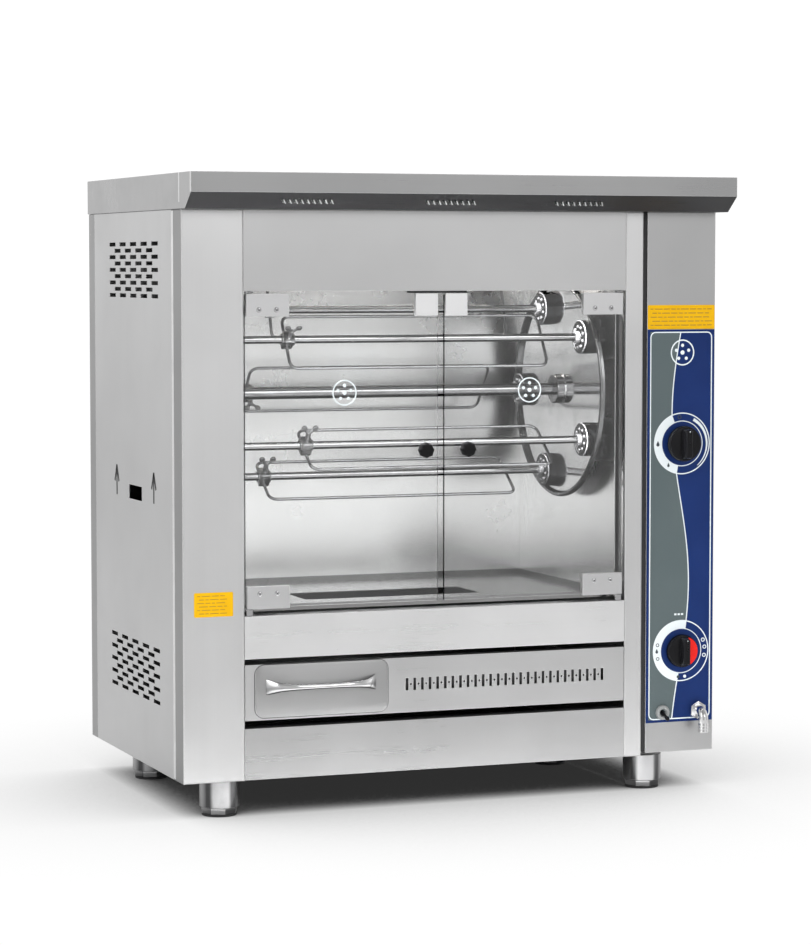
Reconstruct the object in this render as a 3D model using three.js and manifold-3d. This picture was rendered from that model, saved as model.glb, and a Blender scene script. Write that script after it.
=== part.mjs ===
// Planetary rotisserie oven: a stainless cabinet on four legs, five spits carried round a
// shaft by two discs, a pair of glass doors, a fat drawer and a control box on the right.
// Millimetres, +Z up, +X to the right of someone facing the doors, +Y towards the back.
import * as THREE from 'three';
import { mergeVertices } from 'three/addons/utils/BufferGeometryUtils.js';
import Module from 'manifold-3d';

const wasm = await Module();
wasm.setup();

// ---- driving dimensions, from the cabinet's lower front left corner ----
const cabinetWidth = 900;
const cabinetDepth = 533;
const cabinetHeight = 878;
const legHeight = 56;
const sheet = 1.5;                 // thickness of the stainless sheet
const gap = 0.5;                   // clearance between neighbouring sheets
const hoodHeight = 54.7;
const hoodOverhang = 60;           // how far the visor stands in front of the cabinet
const hoodLeft = -2;
const hoodRight = 908;
const columnRight = 98.4;          // right edge of the left front column
const openingRight = 741.2;        // left edge of the right front column
const mainRight = 771.2;           // right side of the cooking cabinet
const boxLeft = 779.3;             // left side of the control box
const openingBottom = 254.5;       // top of the panel under the doors
const openingTop = 753;            // lower edge of the panel above the doors
const drawerBottom = 92.5;
const drawerTop = 179;
const chamberLeft = 62;
const chamberRight = 737.5;
const chamberBack = 420;
const chamberFloorZ = 258;
const chamberTop = 868;
const rotorY = 200;                // main shaft, behind the front face
const rotorZ = 588.5;              // main shaft, above the cabinet's lower edge
const carrierRadius = 179;
const spitCircle = 141.4;          // radius on which the five spits turn
const spitCount = 5;
const firstSpitAngle = 110.6;      // degrees up from the front
const sunTeeth = 40;
const planetTeeth = 12;
const spitRadius = 6.25;
const doorPivotInset = 7;          // hinge pin, inside the edge of the glass
const glassThickness = 6;
const sideGrilleLevels = [785.5, 149];

// ---- shape helpers ----
const degrees = Math.PI / 180;

/** A closed manifold solid from any three.js geometry. */
function solid(geometry) {
  const plain = geometry.index ? geometry.toNonIndexed() : geometry.clone();
  plain.deleteAttribute('normal');
  plain.deleteAttribute('uv');
  const merged = mergeVertices(plain, 1e-3);
  const corners = merged.index.array;
  const triangles = [];
  for (let i = 0; i < corners.length; i += 3) {
    const [a, b, c] = corners.slice(i, i + 3);
    if (a !== b && b !== c && c !== a) {
      triangles.push(a, b, c);
    }
  }
  const mesh = new wasm.Mesh({
    numProp: 3,
    vertProperties: new Float32Array(merged.attributes.position.array),
    triVerts: new Uint32Array(triangles),
  });
  return new wasm.Manifold(mesh);
}

/** The three.js geometry of a manifold solid. */
function geometryOf(body) {
  const mesh = body.getMesh();
  const geometry = new THREE.BufferGeometry();
  const places = new Float32Array(mesh.vertProperties);
  geometry.setAttribute('position', new THREE.BufferAttribute(places, 3));
  geometry.setIndex(new THREE.BufferAttribute(new Uint32Array(mesh.triVerts), 1));
  geometry.computeVertexNormals();
  return geometry;
}

/** Joins geometries into one body. */
function join(first, ...others) {
  return geometryOf(others.reduce((body, other) => body.add(solid(other)), solid(first)));
}

/** Cuts the other geometries out of the first. */
function cut(first, ...others) {
  return geometryOf(others.reduce((body, other) => body.subtract(solid(other)), solid(first)));
}

/** A box between two corners. */
function block(x0, x1, y0, y1, z0, z1) {
  const geometry = new THREE.BoxGeometry(x1 - x0, y1 - y0, z1 - z0);
  return geometry.translate((x0 + x1) / 2, (y0 + y1) / 2, (z0 + z1) / 2);
}

/** A round bar between two points. */
function bar(from, to, radius, sides = 12, endRadius = radius) {
  const a = new THREE.Vector3(...from);
  const b = new THREE.Vector3(...to);
  const geometry = new THREE.CylinderGeometry(endRadius, radius, a.distanceTo(b), sides);
  const turn = new THREE.Quaternion().setFromUnitVectors(
    new THREE.Vector3(0, 1, 0), b.clone().sub(a).normalize());
  const middle = a.add(b).multiplyScalar(0.5);
  return geometry.applyQuaternion(turn).translate(middle.x, middle.y, middle.z);
}

function outline(points) {
  return new THREE.Shape(points.map(([u, v]) => new THREE.Vector2(u, v)));
}

function extrude(shape, depth) {
  return new THREE.ExtrudeGeometry(shape, { depth, bevelEnabled: false, curveSegments: 6 });
}

/** An outline in (x, y), raised from z0 to z1. */
function upright(points, z0, z1) {
  return extrude(outline(points), z1 - z0).translate(0, 0, z0);
}

/** An outline in (y, z), drawn out from x0 to x1. */
function crosswise(shape, x0, x1) {
  const turn = new THREE.Matrix4().makeBasis(
    new THREE.Vector3(0, 1, 0), new THREE.Vector3(0, 0, 1), new THREE.Vector3(1, 0, 0));
  return extrude(shape, x1 - x0).applyMatrix4(turn).translate(x0, 0, 0);
}

/** An outline in (x, z), drawn out towards the front from y = back. */
function frontal(shape, back, thickness) {
  const turn = new THREE.Matrix4().makeBasis(
    new THREE.Vector3(1, 0, 0), new THREE.Vector3(0, 0, 1), new THREE.Vector3(0, -1, 0));
  return extrude(shape, thickness).applyMatrix4(turn).translate(0, back, 0);
}

/** A turned part on the X axis; the profile is a list of (radius, x). */
function turned(profile, sides) {
  const points = profile.map(([radius, x]) => new THREE.Vector2(radius, x));
  return new THREE.LatheGeometry(points, sides).rotateZ(-Math.PI / 2);
}

function rectangle(x0, x1, z0, z1) {
  return outline([[x0, z0], [x1, z0], [x1, z1], [x0, z1]]);
}

/** A bent wire or pipe: straight runs and corners, with a few points round each bend. */
class BentPath extends THREE.Curve {
  constructor(corners, bendRadius, pointsPerBend) {
    super();
    const places = corners.map((corner) => new THREE.Vector3(...corner));
    this.points = [places[0]];
    for (let i = 1; i < places.length - 1; i += 1) {
      const before = places[i - 1].clone().sub(places[i]).normalize();
      const after = places[i + 1].clone().sub(places[i]).normalize();
      const start = places[i].clone().addScaledVector(before, bendRadius);
      const end = places[i].clone().addScaledVector(after, bendRadius);
      const bend = new THREE.QuadraticBezierCurve3(start, places[i], end);
      this.points.push(...bend.getPoints(pointsPerBend - 1));
    }
    this.points.push(places[places.length - 1]);
  }

  get count() {
    return this.points.length - 1;
  }

  getPointAt(u) {
    return this.points[Math.round(u * this.count)].clone();
  }

  getTangentAt(u) {
    const i = Math.round(u * this.count);
    const last = this.points.length - 1;
    const tangent = new THREE.Vector3();
    if (i > 0) {
      tangent.add(this.points[i].clone().sub(this.points[i - 1]).normalize());
    }
    if (i < last) {
      tangent.add(this.points[i + 1].clone().sub(this.points[i]).normalize());
    }
    return tangent.normalize();
  }
}

/** A round wire or, with a bore, a pipe along a bent path. */
function bent(corners, radius, bendRadius, sides = 6, bore = 0, pointsPerBend = 4) {
  const path = new BentPath(corners, bendRadius, pointsPerBend);
  const ring = (r) => Array.from({ length: sides }, (_, i) => [
    r * Math.cos(2 * Math.PI * i / sides), r * Math.sin(2 * Math.PI * i / sides)]);
  const section = outline(ring(radius));
  if (bore > 0) {
    section.holes.push(outline(ring(bore)));
  }
  return new THREE.ExtrudeGeometry(section, { steps: path.count, extrudePath: path });
}

/** A spur gear in the (y, z) plane with its first tooth, or gap, on the +Y axis. */
function gear(teeth, x0, x1, gapFirst) {
  const module = 2 * spitCircle / (sunTeeth + planetTeeth);
  const pitchRadius = module * teeth / 2;
  const addendum = 0.75 * module;
  const dedendum = 0.95 * module;
  const halfTooth = 0.86 * Math.PI * module / 4;
  const flank = [
    [pitchRadius - dedendum, -halfTooth - 0.3 * dedendum],
    [pitchRadius + addendum, -halfTooth + 0.4 * addendum],
    [pitchRadius + addendum, halfTooth - 0.4 * addendum],
    [pitchRadius - dedendum, halfTooth + 0.3 * dedendum]];
  const points = [];
  for (let i = 0; i < teeth; i += 1) {
    for (const [radius, along] of flank) {
      const angle = 2 * Math.PI * (i + (gapFirst ? 0.5 : 0)) / teeth + along / pitchRadius;
      points.push([radius * Math.cos(angle), radius * Math.sin(angle)]);
    }
  }
  return crosswise(outline(points), x0, x1);
}

// ---- finishes ----
const finishes = {
  stainless: { color: 0xb9bbbd, roughness: 0.34, metalness: 1 },
  darkStainless: { color: 0x8f9193, roughness: 0.4, metalness: 1 },
  polished: { color: 0xd2d4d6, roughness: 0.12, metalness: 1 },
  chrome: { color: 0xdfe1e3, roughness: 0.06, metalness: 1 },
  castIron: { color: 0x3b3c3d, roughness: 0.6, metalness: 0.7 },
  brass: { color: 0xb08d4a, roughness: 0.35, metalness: 1 },
  glass: { color: 0xdfe8e8, roughness: 0.02, metalness: 0, opacity: 0.3, transparent: true },
  blackPlastic: { color: 0x17181a, roughness: 0.45, metalness: 0 },
  blueFascia: { color: 0x173466, roughness: 0.3, metalness: 0 },
  greyEnamel: { color: 0x6f7478, roughness: 0.5, metalness: 0.4 },
  ceramic: { color: 0xd8c9b0, roughness: 0.9, metalness: 0 },
};

function add(parent, name, geometry, finish) {
  const mesh = new THREE.Mesh(geometry, new THREE.MeshStandardMaterial(finishes[finish]));
  mesh.name = name;
  parent.add(mesh);
  return mesh;
}

function subgroup(parent, x, y, z) {
  const group = new THREE.Group();
  group.position.set(x, y, z);
  parent.add(group);
  return group;
}

const oven = new THREE.Group();
const cabinet = subgroup(
  oven, -(hoodLeft + hoodRight) / 2, -(cabinetDepth - hoodOverhang) / 2, legHeight);
const wallTop = cabinetHeight - 0.3;

// ---- cabinet frame: folded columns, side wall, rear panel and base ----
const columnSide = 51.5;           // depth of the column's side flange
const returnDepth = 30;            // depth of the flange beside the doors
add(cabinet, 'left_column', upright([
  [0, columnSide], [0, 0], [columnRight, 0], [columnRight, returnDepth],
  [columnRight - sheet, returnDepth], [columnRight - sheet, sheet],
  [sheet, sheet], [sheet, columnSide]], 0, wallTop), 'stainless');

const rearFlange = 36;
const pipeY = 360;
const pipeZ = 825;
const gasPort = bar([chamberRight - 5, pipeY, pipeZ], [mainRight + 5, pipeY, pipeZ], 9, 10);
add(cabinet, 'right_side_wall', cut(upright([
  [openingRight, returnDepth], [openingRight, 0], [mainRight, 0],
  [mainRight, cabinetDepth - rearFlange - gap],
  [mainRight - sheet, cabinetDepth - rearFlange - gap], [mainRight - sheet, sheet],
  [openingRight + sheet, sheet], [openingRight + sheet, returnDepth]], 0, wallTop),
gasPort), 'stainless');

/** Rows of louvre slots in the rear panel, low for intake and high for the flue. */
function rearVents() {
  const slots = [];
  for (const level of [110, 140, 170, 760, 790, 820]) {
    for (const x of [200, 385, 570]) {
      slots.push(block(x - 65, x + 65, cabinetDepth - 5, cabinetDepth + 5, level - 4, level + 4));
    }
  }
  return slots;
}
add(cabinet, 'rear_panel', cut(upright([
  [0, cabinetDepth - rearFlange], [sheet, cabinetDepth - rearFlange],
  [sheet, cabinetDepth - sheet], [mainRight - sheet, cabinetDepth - sheet],
  [mainRight - sheet, cabinetDepth - rearFlange], [mainRight, cabinetDepth - rearFlange],
  [mainRight, cabinetDepth], [0, cabinetDepth]], 0, wallTop), ...rearVents()), 'stainless');

const baseHeight = 18;
add(cabinet, 'base_pan', cut(
  block(sheet + 1, mainRight - sheet - gap, 32, cabinetDepth - sheet - gap, 1, baseHeight),
  block(2 * sheet + 1, mainRight - 2 * sheet - gap, 32 + sheet,
    cabinetDepth - 2 * sheet - gap, 1 + sheet, baseHeight + 1)), 'darkStainless');

// ---- lift-off cover over the drive, with two grilles and a finger hole ----
/** Offset rows of slots: five in the odd rows, four in the even ones. */
function grilleSlots(level) {
  const slots = [];
  for (let row = 0; row < 9; row += 1) {
    const count = row % 2 === 0 ? 5 : 4;
    for (let i = 0; i < count; i += 1) {
      const y = 265 + 61 * (i - (count - 1) / 2);
      const z = level + 10.25 * (row - 4);
      slots.push(block(-5, 5, y - 19, y + 19, z - 3.25, z + 3.25));
    }
  }
  return slots;
}
const coverFront = columnSide + gap;
const coverBack = cabinetDepth - rearFlange - gap;
const fingerHole = block(-5, 5, 221.5, 296.5, 418.5, 441.5);
const coverPlate = cut(block(0, sheet, coverFront, coverBack, 0, wallTop),
  ...sideGrilleLevels.flatMap(grilleSlots), fingerHole);
add(cabinet, 'side_cover', join(coverPlate,
  block(0, 12, coverFront, coverFront + sheet, 20, wallTop - 20),
  block(0, 12, coverBack - sheet, coverBack, 20, wallTop - 20)), 'stainless');

// ---- hood with a slotted visor ----
/** Three groups of nine slanted slots through the visor's sloping underside. */
function visorSlots() {
  const slots = [];
  for (const start of [143, 377, 594]) {
    for (let i = 0; i < 9; i += 1) {
      const slot = upright([[0, -4], [4, -4], [10, 4], [6, 4]], 880, 905);
      slots.push(slot.translate(start + 9.6 * i, -44, 0));
    }
  }
  return slots;
}
/** Slots in the top, at the back, where the hot air leaves. */
function exhaustSlots() {
  const top = cabinetHeight + hoodHeight;
  return Array.from({ length: 8 }, (_, i) => (
    block(150 + 70 * i, 200 + 70 * i, 455, 463, top - 5, top + 5)));
}
const hoodTop = cabinetHeight + hoodHeight;
const visorFoot = -28.5;           // where the sloping underside meets the flat one
const visorEdge = cabinetHeight + 24.2;
const hoodOuter = crosswise(outline([
  [-hoodOverhang, visorEdge], [visorFoot, cabinetHeight], [cabinetDepth, cabinetHeight],
  [cabinetDepth, hoodTop], [-hoodOverhang, hoodTop]]), hoodLeft, hoodRight);
const hoodInner = crosswise(outline([
  [-hoodOverhang + sheet, visorEdge + 0.8], [visorFoot + 0.6, cabinetHeight + sheet],
  [sheet, cabinetHeight + sheet], [sheet, cabinetHeight - 9],
  [cabinetDepth - sheet, cabinetHeight - 9], [cabinetDepth - sheet, hoodTop - sheet],
  [-hoodOverhang + sheet, hoodTop - sheet]]), hoodLeft + sheet, hoodRight - sheet);
add(cabinet, 'hood', cut(hoodOuter, hoodInner, ...visorSlots(), ...exhaustSlots()), 'darkStainless');

// ---- fixed front panels ----
const panelLeft = columnRight + gap;
const panelRight = openingRight - gap;
const glassLeft = columnRight + 2.4;
const glassRight = openingRight - 3.9;
const doorPinLeft = glassLeft + doorPivotInset;
const doorPinRight = glassRight - doorPivotInset;
const doorPinY = glassThickness / 2;
const pinRadius = 2.2;
function pinHoles(z) {
  return [doorPinLeft, doorPinRight].map((x) => (
    bar([x, doorPinY, z - 6], [x, doorPinY, z + 6], pinRadius + 0.6, 10)));
}
add(cabinet, 'top_front_panel', cut(crosswise(outline([
  [-0.5, openingTop], [20, openingTop], [20, openingTop + sheet], [1, openingTop + sheet],
  [1, wallTop], [-0.5, wallTop]]), panelLeft, panelRight), ...pinHoles(openingTop)), 'stainless');
const midPanelBottom = 188;
const sillDepth = 31;
add(cabinet, 'mid_front_panel', cut(crosswise(outline([
  [-0.5, midPanelBottom], [20, midPanelBottom], [20, midPanelBottom + sheet],
  [1, midPanelBottom + sheet], [1, openingBottom - sheet],
  [sillDepth, openingBottom - sheet], [sillDepth, openingBottom], [-0.5, openingBottom]]),
panelLeft, panelRight), ...pinHoles(openingBottom)), 'stainless');
add(cabinet, 'lower_front_panel', crosswise(outline([
  [-0.5, 0.5], [20, 0.5], [20, 0.5 + sheet], [1, 0.5 + sheet], [1, 80 - sheet],
  [20, 80 - sheet], [20, 80], [-0.5, 80]]), panelLeft, panelRight), 'stainless');

// ---- cooking chamber ----
const linerWall = 1.5;
const shaftHole = 14;
const linerFront = 12;
/** The chamber's lining: two sides, the back, the top and the flanges beside the doors. */
function chamberLiner() {
  const outer = block(chamberLeft, chamberRight, linerFront, chamberBack, chamberFloorZ, chamberTop);
  const inner = block(chamberLeft + linerWall, chamberRight - linerWall, linerFront - 5,
    chamberBack - linerWall, chamberFloorZ - 5, chamberTop - linerWall);
  const leftFlange = block(chamberLeft, columnRight - sheet - gap, linerFront,
    linerFront + linerWall, chamberFloorZ, chamberTop);
  const shaftWay = bar([chamberLeft - 5, rotorY, rotorZ], [chamberLeft + 5, rotorY, rotorZ],
    shaftHole, 16);
  const fluePort = block(250, 550, 330, 370, chamberTop - 5, chamberTop + 5);
  const frontEdge = block(chamberLeft - 1, chamberRight + 1, linerFront - 1, returnDepth + 1,
    chamberTop - linerWall, chamberTop + 1);
  const rightEdge = block(chamberRight - linerWall - 1, chamberRight + 1, linerFront - 1,
    returnDepth + 1, chamberFloorZ - 1, chamberTop + 1);
  return cut(join(cut(outer, inner), leftFlange), frontEdge, rightEdge, shaftWay, fluePort,
    gasPort);
}
add(cabinet, 'chamber_liner', chamberLiner(), 'polished');

const floorGap = linerWall + 0.4;
add(cabinet, 'chamber_floor', cut(
  block(chamberLeft + floorGap, chamberRight - floorGap, returnDepth + 1,
    chamberBack - floorGap, chamberFloorZ, chamberFloorZ + 10),
  block(chamberLeft + floorGap + sheet, chamberRight - floorGap - sheet, returnDepth + 1 + sheet,
    chamberBack - floorGap - sheet, chamberFloorZ + sheet, chamberFloorZ + 20),
  block(250, 550, 150, 250, chamberFloorZ - 5, chamberFloorZ + 5)), 'darkStainless');

// ---- gas burner under the chamber's top, with its supply pipe ----
const burnerRight = 700;
const gasKnobX = 841.5;
const gasKnobZ = 505.5;
const valveBack = 70;
add(cabinet, 'burner', join(
  block(90, burnerRight, 345, 410, 800, 840),
  block(105, burnerRight - 15, 335, 350, 806, 834),
  bent([[burnerRight - 5, pipeY, pipeZ], [gasKnobX, pipeY, pipeZ],
    [gasKnobX, pipeY, gasKnobZ], [gasKnobX, valveBack + 0.4, gasKnobZ]], 6, 25, 8)), 'ceramic');

// ---- drive: geared motor in the left compartment ----
add(cabinet, 'gear_motor', cut(join(
  block(6, 52, rotorY - 45, rotorY + 45, rotorZ - 55, rotorZ + 50),
  bar([29, rotorY, rotorZ + 45], [29, rotorY, rotorZ + 185], 24, 16),
  bar([50, rotorY, rotorZ], [56, rotorY, rotorZ], 22, 16),
  block(50, chamberLeft - 0.4, rotorY - 60, rotorY + 60, rotorZ - 55, rotorZ - 40)),
bar([28, rotorY, rotorZ], [60, rotorY, rotorZ], 10.4, 16)), 'castIron');

// ---- rotor: shaft, two carrier discs and five driven spits ----
const leftDisc = 78;               // outer face of the left carrier disc
const rightDisc = 716.8;           // outer face of the right carrier disc
const lip = 10;                    // depth of the discs' turned-in rim
const discSheet = 2;
const drumRadius = 27.5;
const drumLeft = 697.5;
const drumRight = 714.4;
const gearLeft = 718.6;
const gearRight = 728.6;
const shaftRadius = 10;
const rotor = subgroup(cabinet, 0, rotorY, rotorZ);

function spitAngle(index) {
  return (firstSpitAngle - 72 * index) * degrees;
}

/** A disc with a rim turned towards the spits, a hub and five journal holes. */
function carrier(face, inward, journal) {
  const x = (depth) => face + inward * depth;
  const profile = [
    [0, x(0)], [carrierRadius, x(0)], [carrierRadius, x(lip)], [carrierRadius - 5, x(lip)],
    [carrierRadius - 5, x(discSheet)], [24, x(discSheet)], [24, x(16)], [0, x(16)]];
  const disc = turned(inward > 0 ? profile : profile.reverse(), 32);
  const holes = [bar([face - 30, 0, 0], [face + 30, 0, 0], shaftRadius + 0.3, 20)];
  for (let i = 0; i < spitCount; i += 1) {
    const y = -spitCircle * Math.cos(spitAngle(i));
    const z = spitCircle * Math.sin(spitAngle(i));
    holes.push(bar([face - 30, y, z], [face + 30, y, z], journal, 12));
  }
  return cut(disc, ...holes);
}
add(rotor, 'main_shaft', bar([30, 0, 0], [735, 0, 0], shaftRadius, 20), 'polished');
add(rotor, 'left_carrier', carrier(leftDisc, 1, spitRadius + 0.5), 'polished');
add(rotor, 'right_carrier', carrier(rightDisc, -1, 8.5), 'polished');

// the fixed sun gear, bolted to the right wall, also holds the shaft's right end
const sunGear = add(rotor, 'sun_gear', cut(join(
  gear(sunTeeth, gearLeft, gearRight, false),
  bar([gearRight - 1, 0, 0], [chamberRight - linerWall - 0.4, 0, 0], 45, 20)),
bar([gearLeft - 5, 0, 0], [chamberRight + 5, 0, 0], shaftRadius + 0.5, 20)), 'castIron');
sunGear.rotation.x = Math.PI - spitAngle(0);

/** The socket that turns a spit: drum, journal through the disc, and planet gear. */
function spitDrive() {
  const drum = turned([
    [0, drumLeft - 7], [10, drumLeft - 7], [10, drumLeft], [drumRadius - 2.5, drumLeft],
    [drumRadius, drumLeft + 2.5], [drumRadius, drumRight - 2], [drumRadius - 2, drumRight],
    [8, drumRight], [8, gearLeft + 0.5], [0, gearLeft + 0.5]], 14);
  return cut(join(drum, gear(planetTeeth, gearLeft, gearRight, true)),
    bar([drumLeft - 20, 0, 0], [drumLeft + 12, 0, 0], spitRadius + 0.35, 12));
}

/** A fork: a long wire loop beside the spit, on a clamp block with a wing screw. */
const forkHalfWidth = 46.5;
const forkWire = 2.5;
const forkOffset = 9.4;            // the loop lies beside the spit, not through it
const forkRight = 637;
function fork(left) {
  const wire = bent([
    [left, 4, -forkOffset], [left, forkHalfWidth, -forkOffset],
    [forkRight, forkHalfWidth, -forkOffset], [forkRight, -forkHalfWidth, -forkOffset],
    [left, -forkHalfWidth, -forkOffset], [left, -4, -forkOffset]], forkWire, 13);
  const clamp = block(left - 9, left + 9, -11, 11, -13, 11);
  const neck = bar([left, 0, 10], [left, 0, 26], 4, 8);
  const wings = frontal(outline([
    [-3, 22], [3, 22], [6, 29], [14, 36], [11, 41], [3, 34], [0, 31],
    [-3, 34], [-11, 41], [-14, 36], [-6, 29]]), 2.2, 4.4).translate(left, 0, 0);
  return cut(join(wire, clamp, neck, wings),
    bar([left - 20, 0, 0], [left + 20, 0, 0], spitRadius + 0.35, 12));
}

// each fork is clamped at its own place along the spit and leans its own way
const forkLefts = [226, 199, 226, 208, 214];
const forkLeans = [15, 31, 52, 54, -38];
for (let i = 0; i < spitCount; i += 1) {
  const angle = spitAngle(i);
  const spot = subgroup(rotor, 0, -spitCircle * Math.cos(angle), spitCircle * Math.sin(angle));
  const drive = add(spot, `spit_drive_${i + 1}`, spitDrive(), 'chrome');
  drive.rotation.x = Math.PI - angle;
  add(spot, `spit_${i + 1}`, join(
    bar([70, 0, 0], [drumLeft + 10, 0, 0], spitRadius, 12),
    bar([leftDisc + 4, 0, 0], [leftDisc + 10, 0, 0], 9, 12)), 'chrome');
  const clampedFork = add(spot, `fork_${i + 1}`, fork(forkLefts[i]), 'chrome');
  clampedFork.rotation.x = (90 - forkLeans[i]) * degrees;
}

// ---- doors: frameless glass in clips, the outer clips carrying the hinge pins ----
const glassBottom = 267.5;
const glassTop = 747;
const doorGapLeft = 418;
const doorGapRight = 428.9;
const clipSheet = 1.7;
const clipReach = 32.5;

/** A U-shaped clip over the glass's lower edge, or with up = -1 its upper edge. */
function clip(x0, x1, edge, up) {
  const z = (reach) => edge + up * reach;
  const points = [
    [-2, z(-2.2)], [glassThickness + 2, z(-2.2)], [glassThickness + 2, z(clipReach)],
    [glassThickness + 0.3, z(clipReach)], [glassThickness + 0.3, z(clipSheet - 2.2)],
    [-0.3, z(clipSheet - 2.2)], [-0.3, z(clipReach)], [-2, z(clipReach)]];
  return crosswise(outline(points), x0, x1);
}

/** A door knob with six lobes, on a short stem. */
function doorKnob() {
  const points = Array.from({ length: 24 }, (_, i) => {
    const angle = 2 * Math.PI * i / 24;
    const radius = 12 + 0.9 * Math.cos(6 * angle);
    return [radius * Math.cos(angle), radius * Math.sin(angle)];
  });
  return join(frontal(outline(points), -6, 14), bar([0, -0.3, 0], [0, -7, 0], 5.5, 10));
}

/** A door in its own frame, with the hinge pin at x = 0 and the glass towards side * x. */
function addDoor(name, pinX, side, width, knobReach) {
  const door = subgroup(cabinet, pinX, 0, 0);
  const span = (near, far) => (side > 0 ? [near, far] : [-far, -near]);
  const hinge = span(-5, 64);
  const strike = span(width - doorPivotInset - 38, width - doorPivotInset - 1);
  add(door, `${name}_door_glass`, block(...span(-doorPivotInset, width - doorPivotInset),
    0, glassThickness, glassBottom, glassTop), 'glass');
  add(door, `${name}_top_hinge`, join(clip(...hinge, glassTop, -1),
    bar([0, doorPinY, glassTop + 1.5], [0, doorPinY, openingTop + 4], pinRadius, 10)), 'stainless');
  add(door, `${name}_bottom_hinge`, join(clip(...hinge, glassBottom, 1),
    bar([0, doorPinY, glassBottom - 1.5], [0, doorPinY, openingBottom - 4], pinRadius, 10)),
  'stainless');
  add(door, `${name}_strike_plate`, clip(...strike, glassTop, -1), 'chrome');
  const knob = add(door, `${name}_door_knob`, doorKnob(), 'blackPlastic');
  knob.position.set(side * knobReach, 0, 505);
}
addDoor('left', doorPinLeft, 1, doorGapLeft - glassLeft, 285.6);
addDoor('right', doorPinRight, -1, glassRight - doorGapRight, 266);

// ---- fat drawer on its runners ----
const drawer = subgroup(cabinet, 0, 0, 0);
const ventSlotCount = 27;
const ventPitch = 12.92;
const firstVentX = 366;
const ventBottom = 127;
const ventTop = 146.5;
const ventMiddle = (ventBottom + ventTop) / 2;
const ventSlots = Array.from({ length: ventSlotCount }, (_, i) => {
  const x = firstVentX + ventPitch * i;
  return block(x - 2.4, x + 2.4, -5, 5, ventBottom, ventTop);
});
const ventHoles = Array.from({ length: ventSlotCount - 1 }, (_, i) => {
  const x = firstVentX + ventPitch * (i + 0.5);
  return bar([x, -5, ventMiddle], [x, 5, ventMiddle], 2, 8);
});
add(drawer, 'drawer_front', cut(crosswise(outline([
  [-0.5, drawerBottom], [12, drawerBottom], [12, drawerBottom + sheet],
  [1, drawerBottom + sheet], [1, drawerTop - sheet], [12, drawerTop - sheet],
  [12, drawerTop], [-0.5, drawerTop]]), panelLeft + 0.5, panelRight - 0.5),
...ventSlots, ...ventHoles), 'stainless');
const trayLeft = 114;
const trayRight = 726;
add(drawer, 'drip_tray', cut(
  block(trayLeft, trayRight, 12.4, 412, 97, 152),
  block(trayLeft + sheet, trayRight - sheet, 12.4 + sheet, 412 - sheet, 97 + sheet, 160)),
'darkStainless');

/** A bow handle: flat feet on the drawer front and a bar standing off it. */
const handleLeft = 131.8;
const handleRight = 313.7;
const handleZ = 144;
function bowHandle() {
  const bow = upright([
    [handleLeft + 2, -1], [handleLeft + 12, -16], [handleLeft + 34, -27],
    [handleRight - 34, -27], [handleRight - 12, -16], [handleRight - 2, -1],
    [handleRight - 12, -1], [handleRight - 19, -11], [handleRight - 36, -20],
    [handleLeft + 36, -20], [handleLeft + 19, -11], [handleLeft + 12, -1]],
  handleZ - 5, handleZ + 5);
  const foot = (x0, x1) => block(x0, x1, -4, -0.8, handleZ - 12.5, handleZ + 12.5);
  return join(bow, foot(handleLeft, handleLeft + 17), foot(handleRight - 17, handleRight));
}
add(drawer, 'drawer_handle', bowHandle(), 'chrome');

add(cabinet, 'drawer_runners', join(
  block(trayLeft - 10, trayLeft + 6, 24, 470, 93.5, 96.6),
  block(trayRight - 6, trayRight + 10, 24, 470, 93.5, 96.6),
  block(trayLeft - 10, trayRight + 10, 455, 470, 93.5, 96.6)), 'darkStainless');

// ---- control box on the right, with its fascia and controls ----
const switchZ = 168.5;
const toggleX = 809;
const toggleZ = 69;
const inletX = 870.4;
const inletZ = 70.6;
const controlHoles = [
  [gasKnobX, gasKnobZ], [gasKnobX, switchZ], [toggleX, toggleZ], [inletX, inletZ],
].map(([x, z]) => bar([x, -8, z], [x, 8, z], 9.2, 12));
const boxVents = [790, 805, 820, 110, 125, 140].flatMap((z) => [170, 300].map((y) => (
  block(cabinetWidth - 5, cabinetWidth + 5, y - 45, y + 45, z - 3, z + 3))));
add(cabinet, 'control_box', cut(
  block(boxLeft, cabinetWidth, 0, cabinetDepth, 4, wallTop),
  block(boxLeft - 5, cabinetWidth - sheet, sheet, cabinetDepth - sheet, 4 + sheet, wallTop - sheet),
  ...controlHoles, ...boxVents), 'stainless');
add(cabinet, 'control_fascia', cut(
  frontal(rectangle(boxLeft + 0.6, cabinetWidth - 1.2, 52.5, 689.5), -0.3, 1.2),
  ...controlHoles), 'blueFascia');

// gas valve: the stem is pushed in before the knob turns
const gasControl = subgroup(cabinet, gasKnobX, 0, gasKnobZ);
const stemRadius = 5;
add(gasControl, 'gas_valve', cut(join(
  block(-21, 21, 6, valveBack, -26, 26), bar([0, 7, 0], [0, -2, 0], 8.6, 14)),
bar([0, -6, 0], [0, 44, 0], stemRadius + 0.3, 14)), 'brass');
add(gasControl, 'gas_valve_stem', bar([0, 30, 0], [0, -20, 0], stemRadius, 14), 'polished');

/** A round knob with a raised grip across it. */
function knob(radius, back, front) {
  const skirt = bar([0, back, 0], [0, back - 9, 0], radius, 28, radius - 1.5);
  return join(skirt, block(-7.5, 7.5, front, back - 8, -radius + 4, radius - 4));
}
add(gasControl, 'gas_knob', cut(knob(29, -8, -32),
  bar([0, -5, 0], [0, -20.4, 0], stemRadius + 0.3, 14)), 'blackPlastic');

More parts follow.
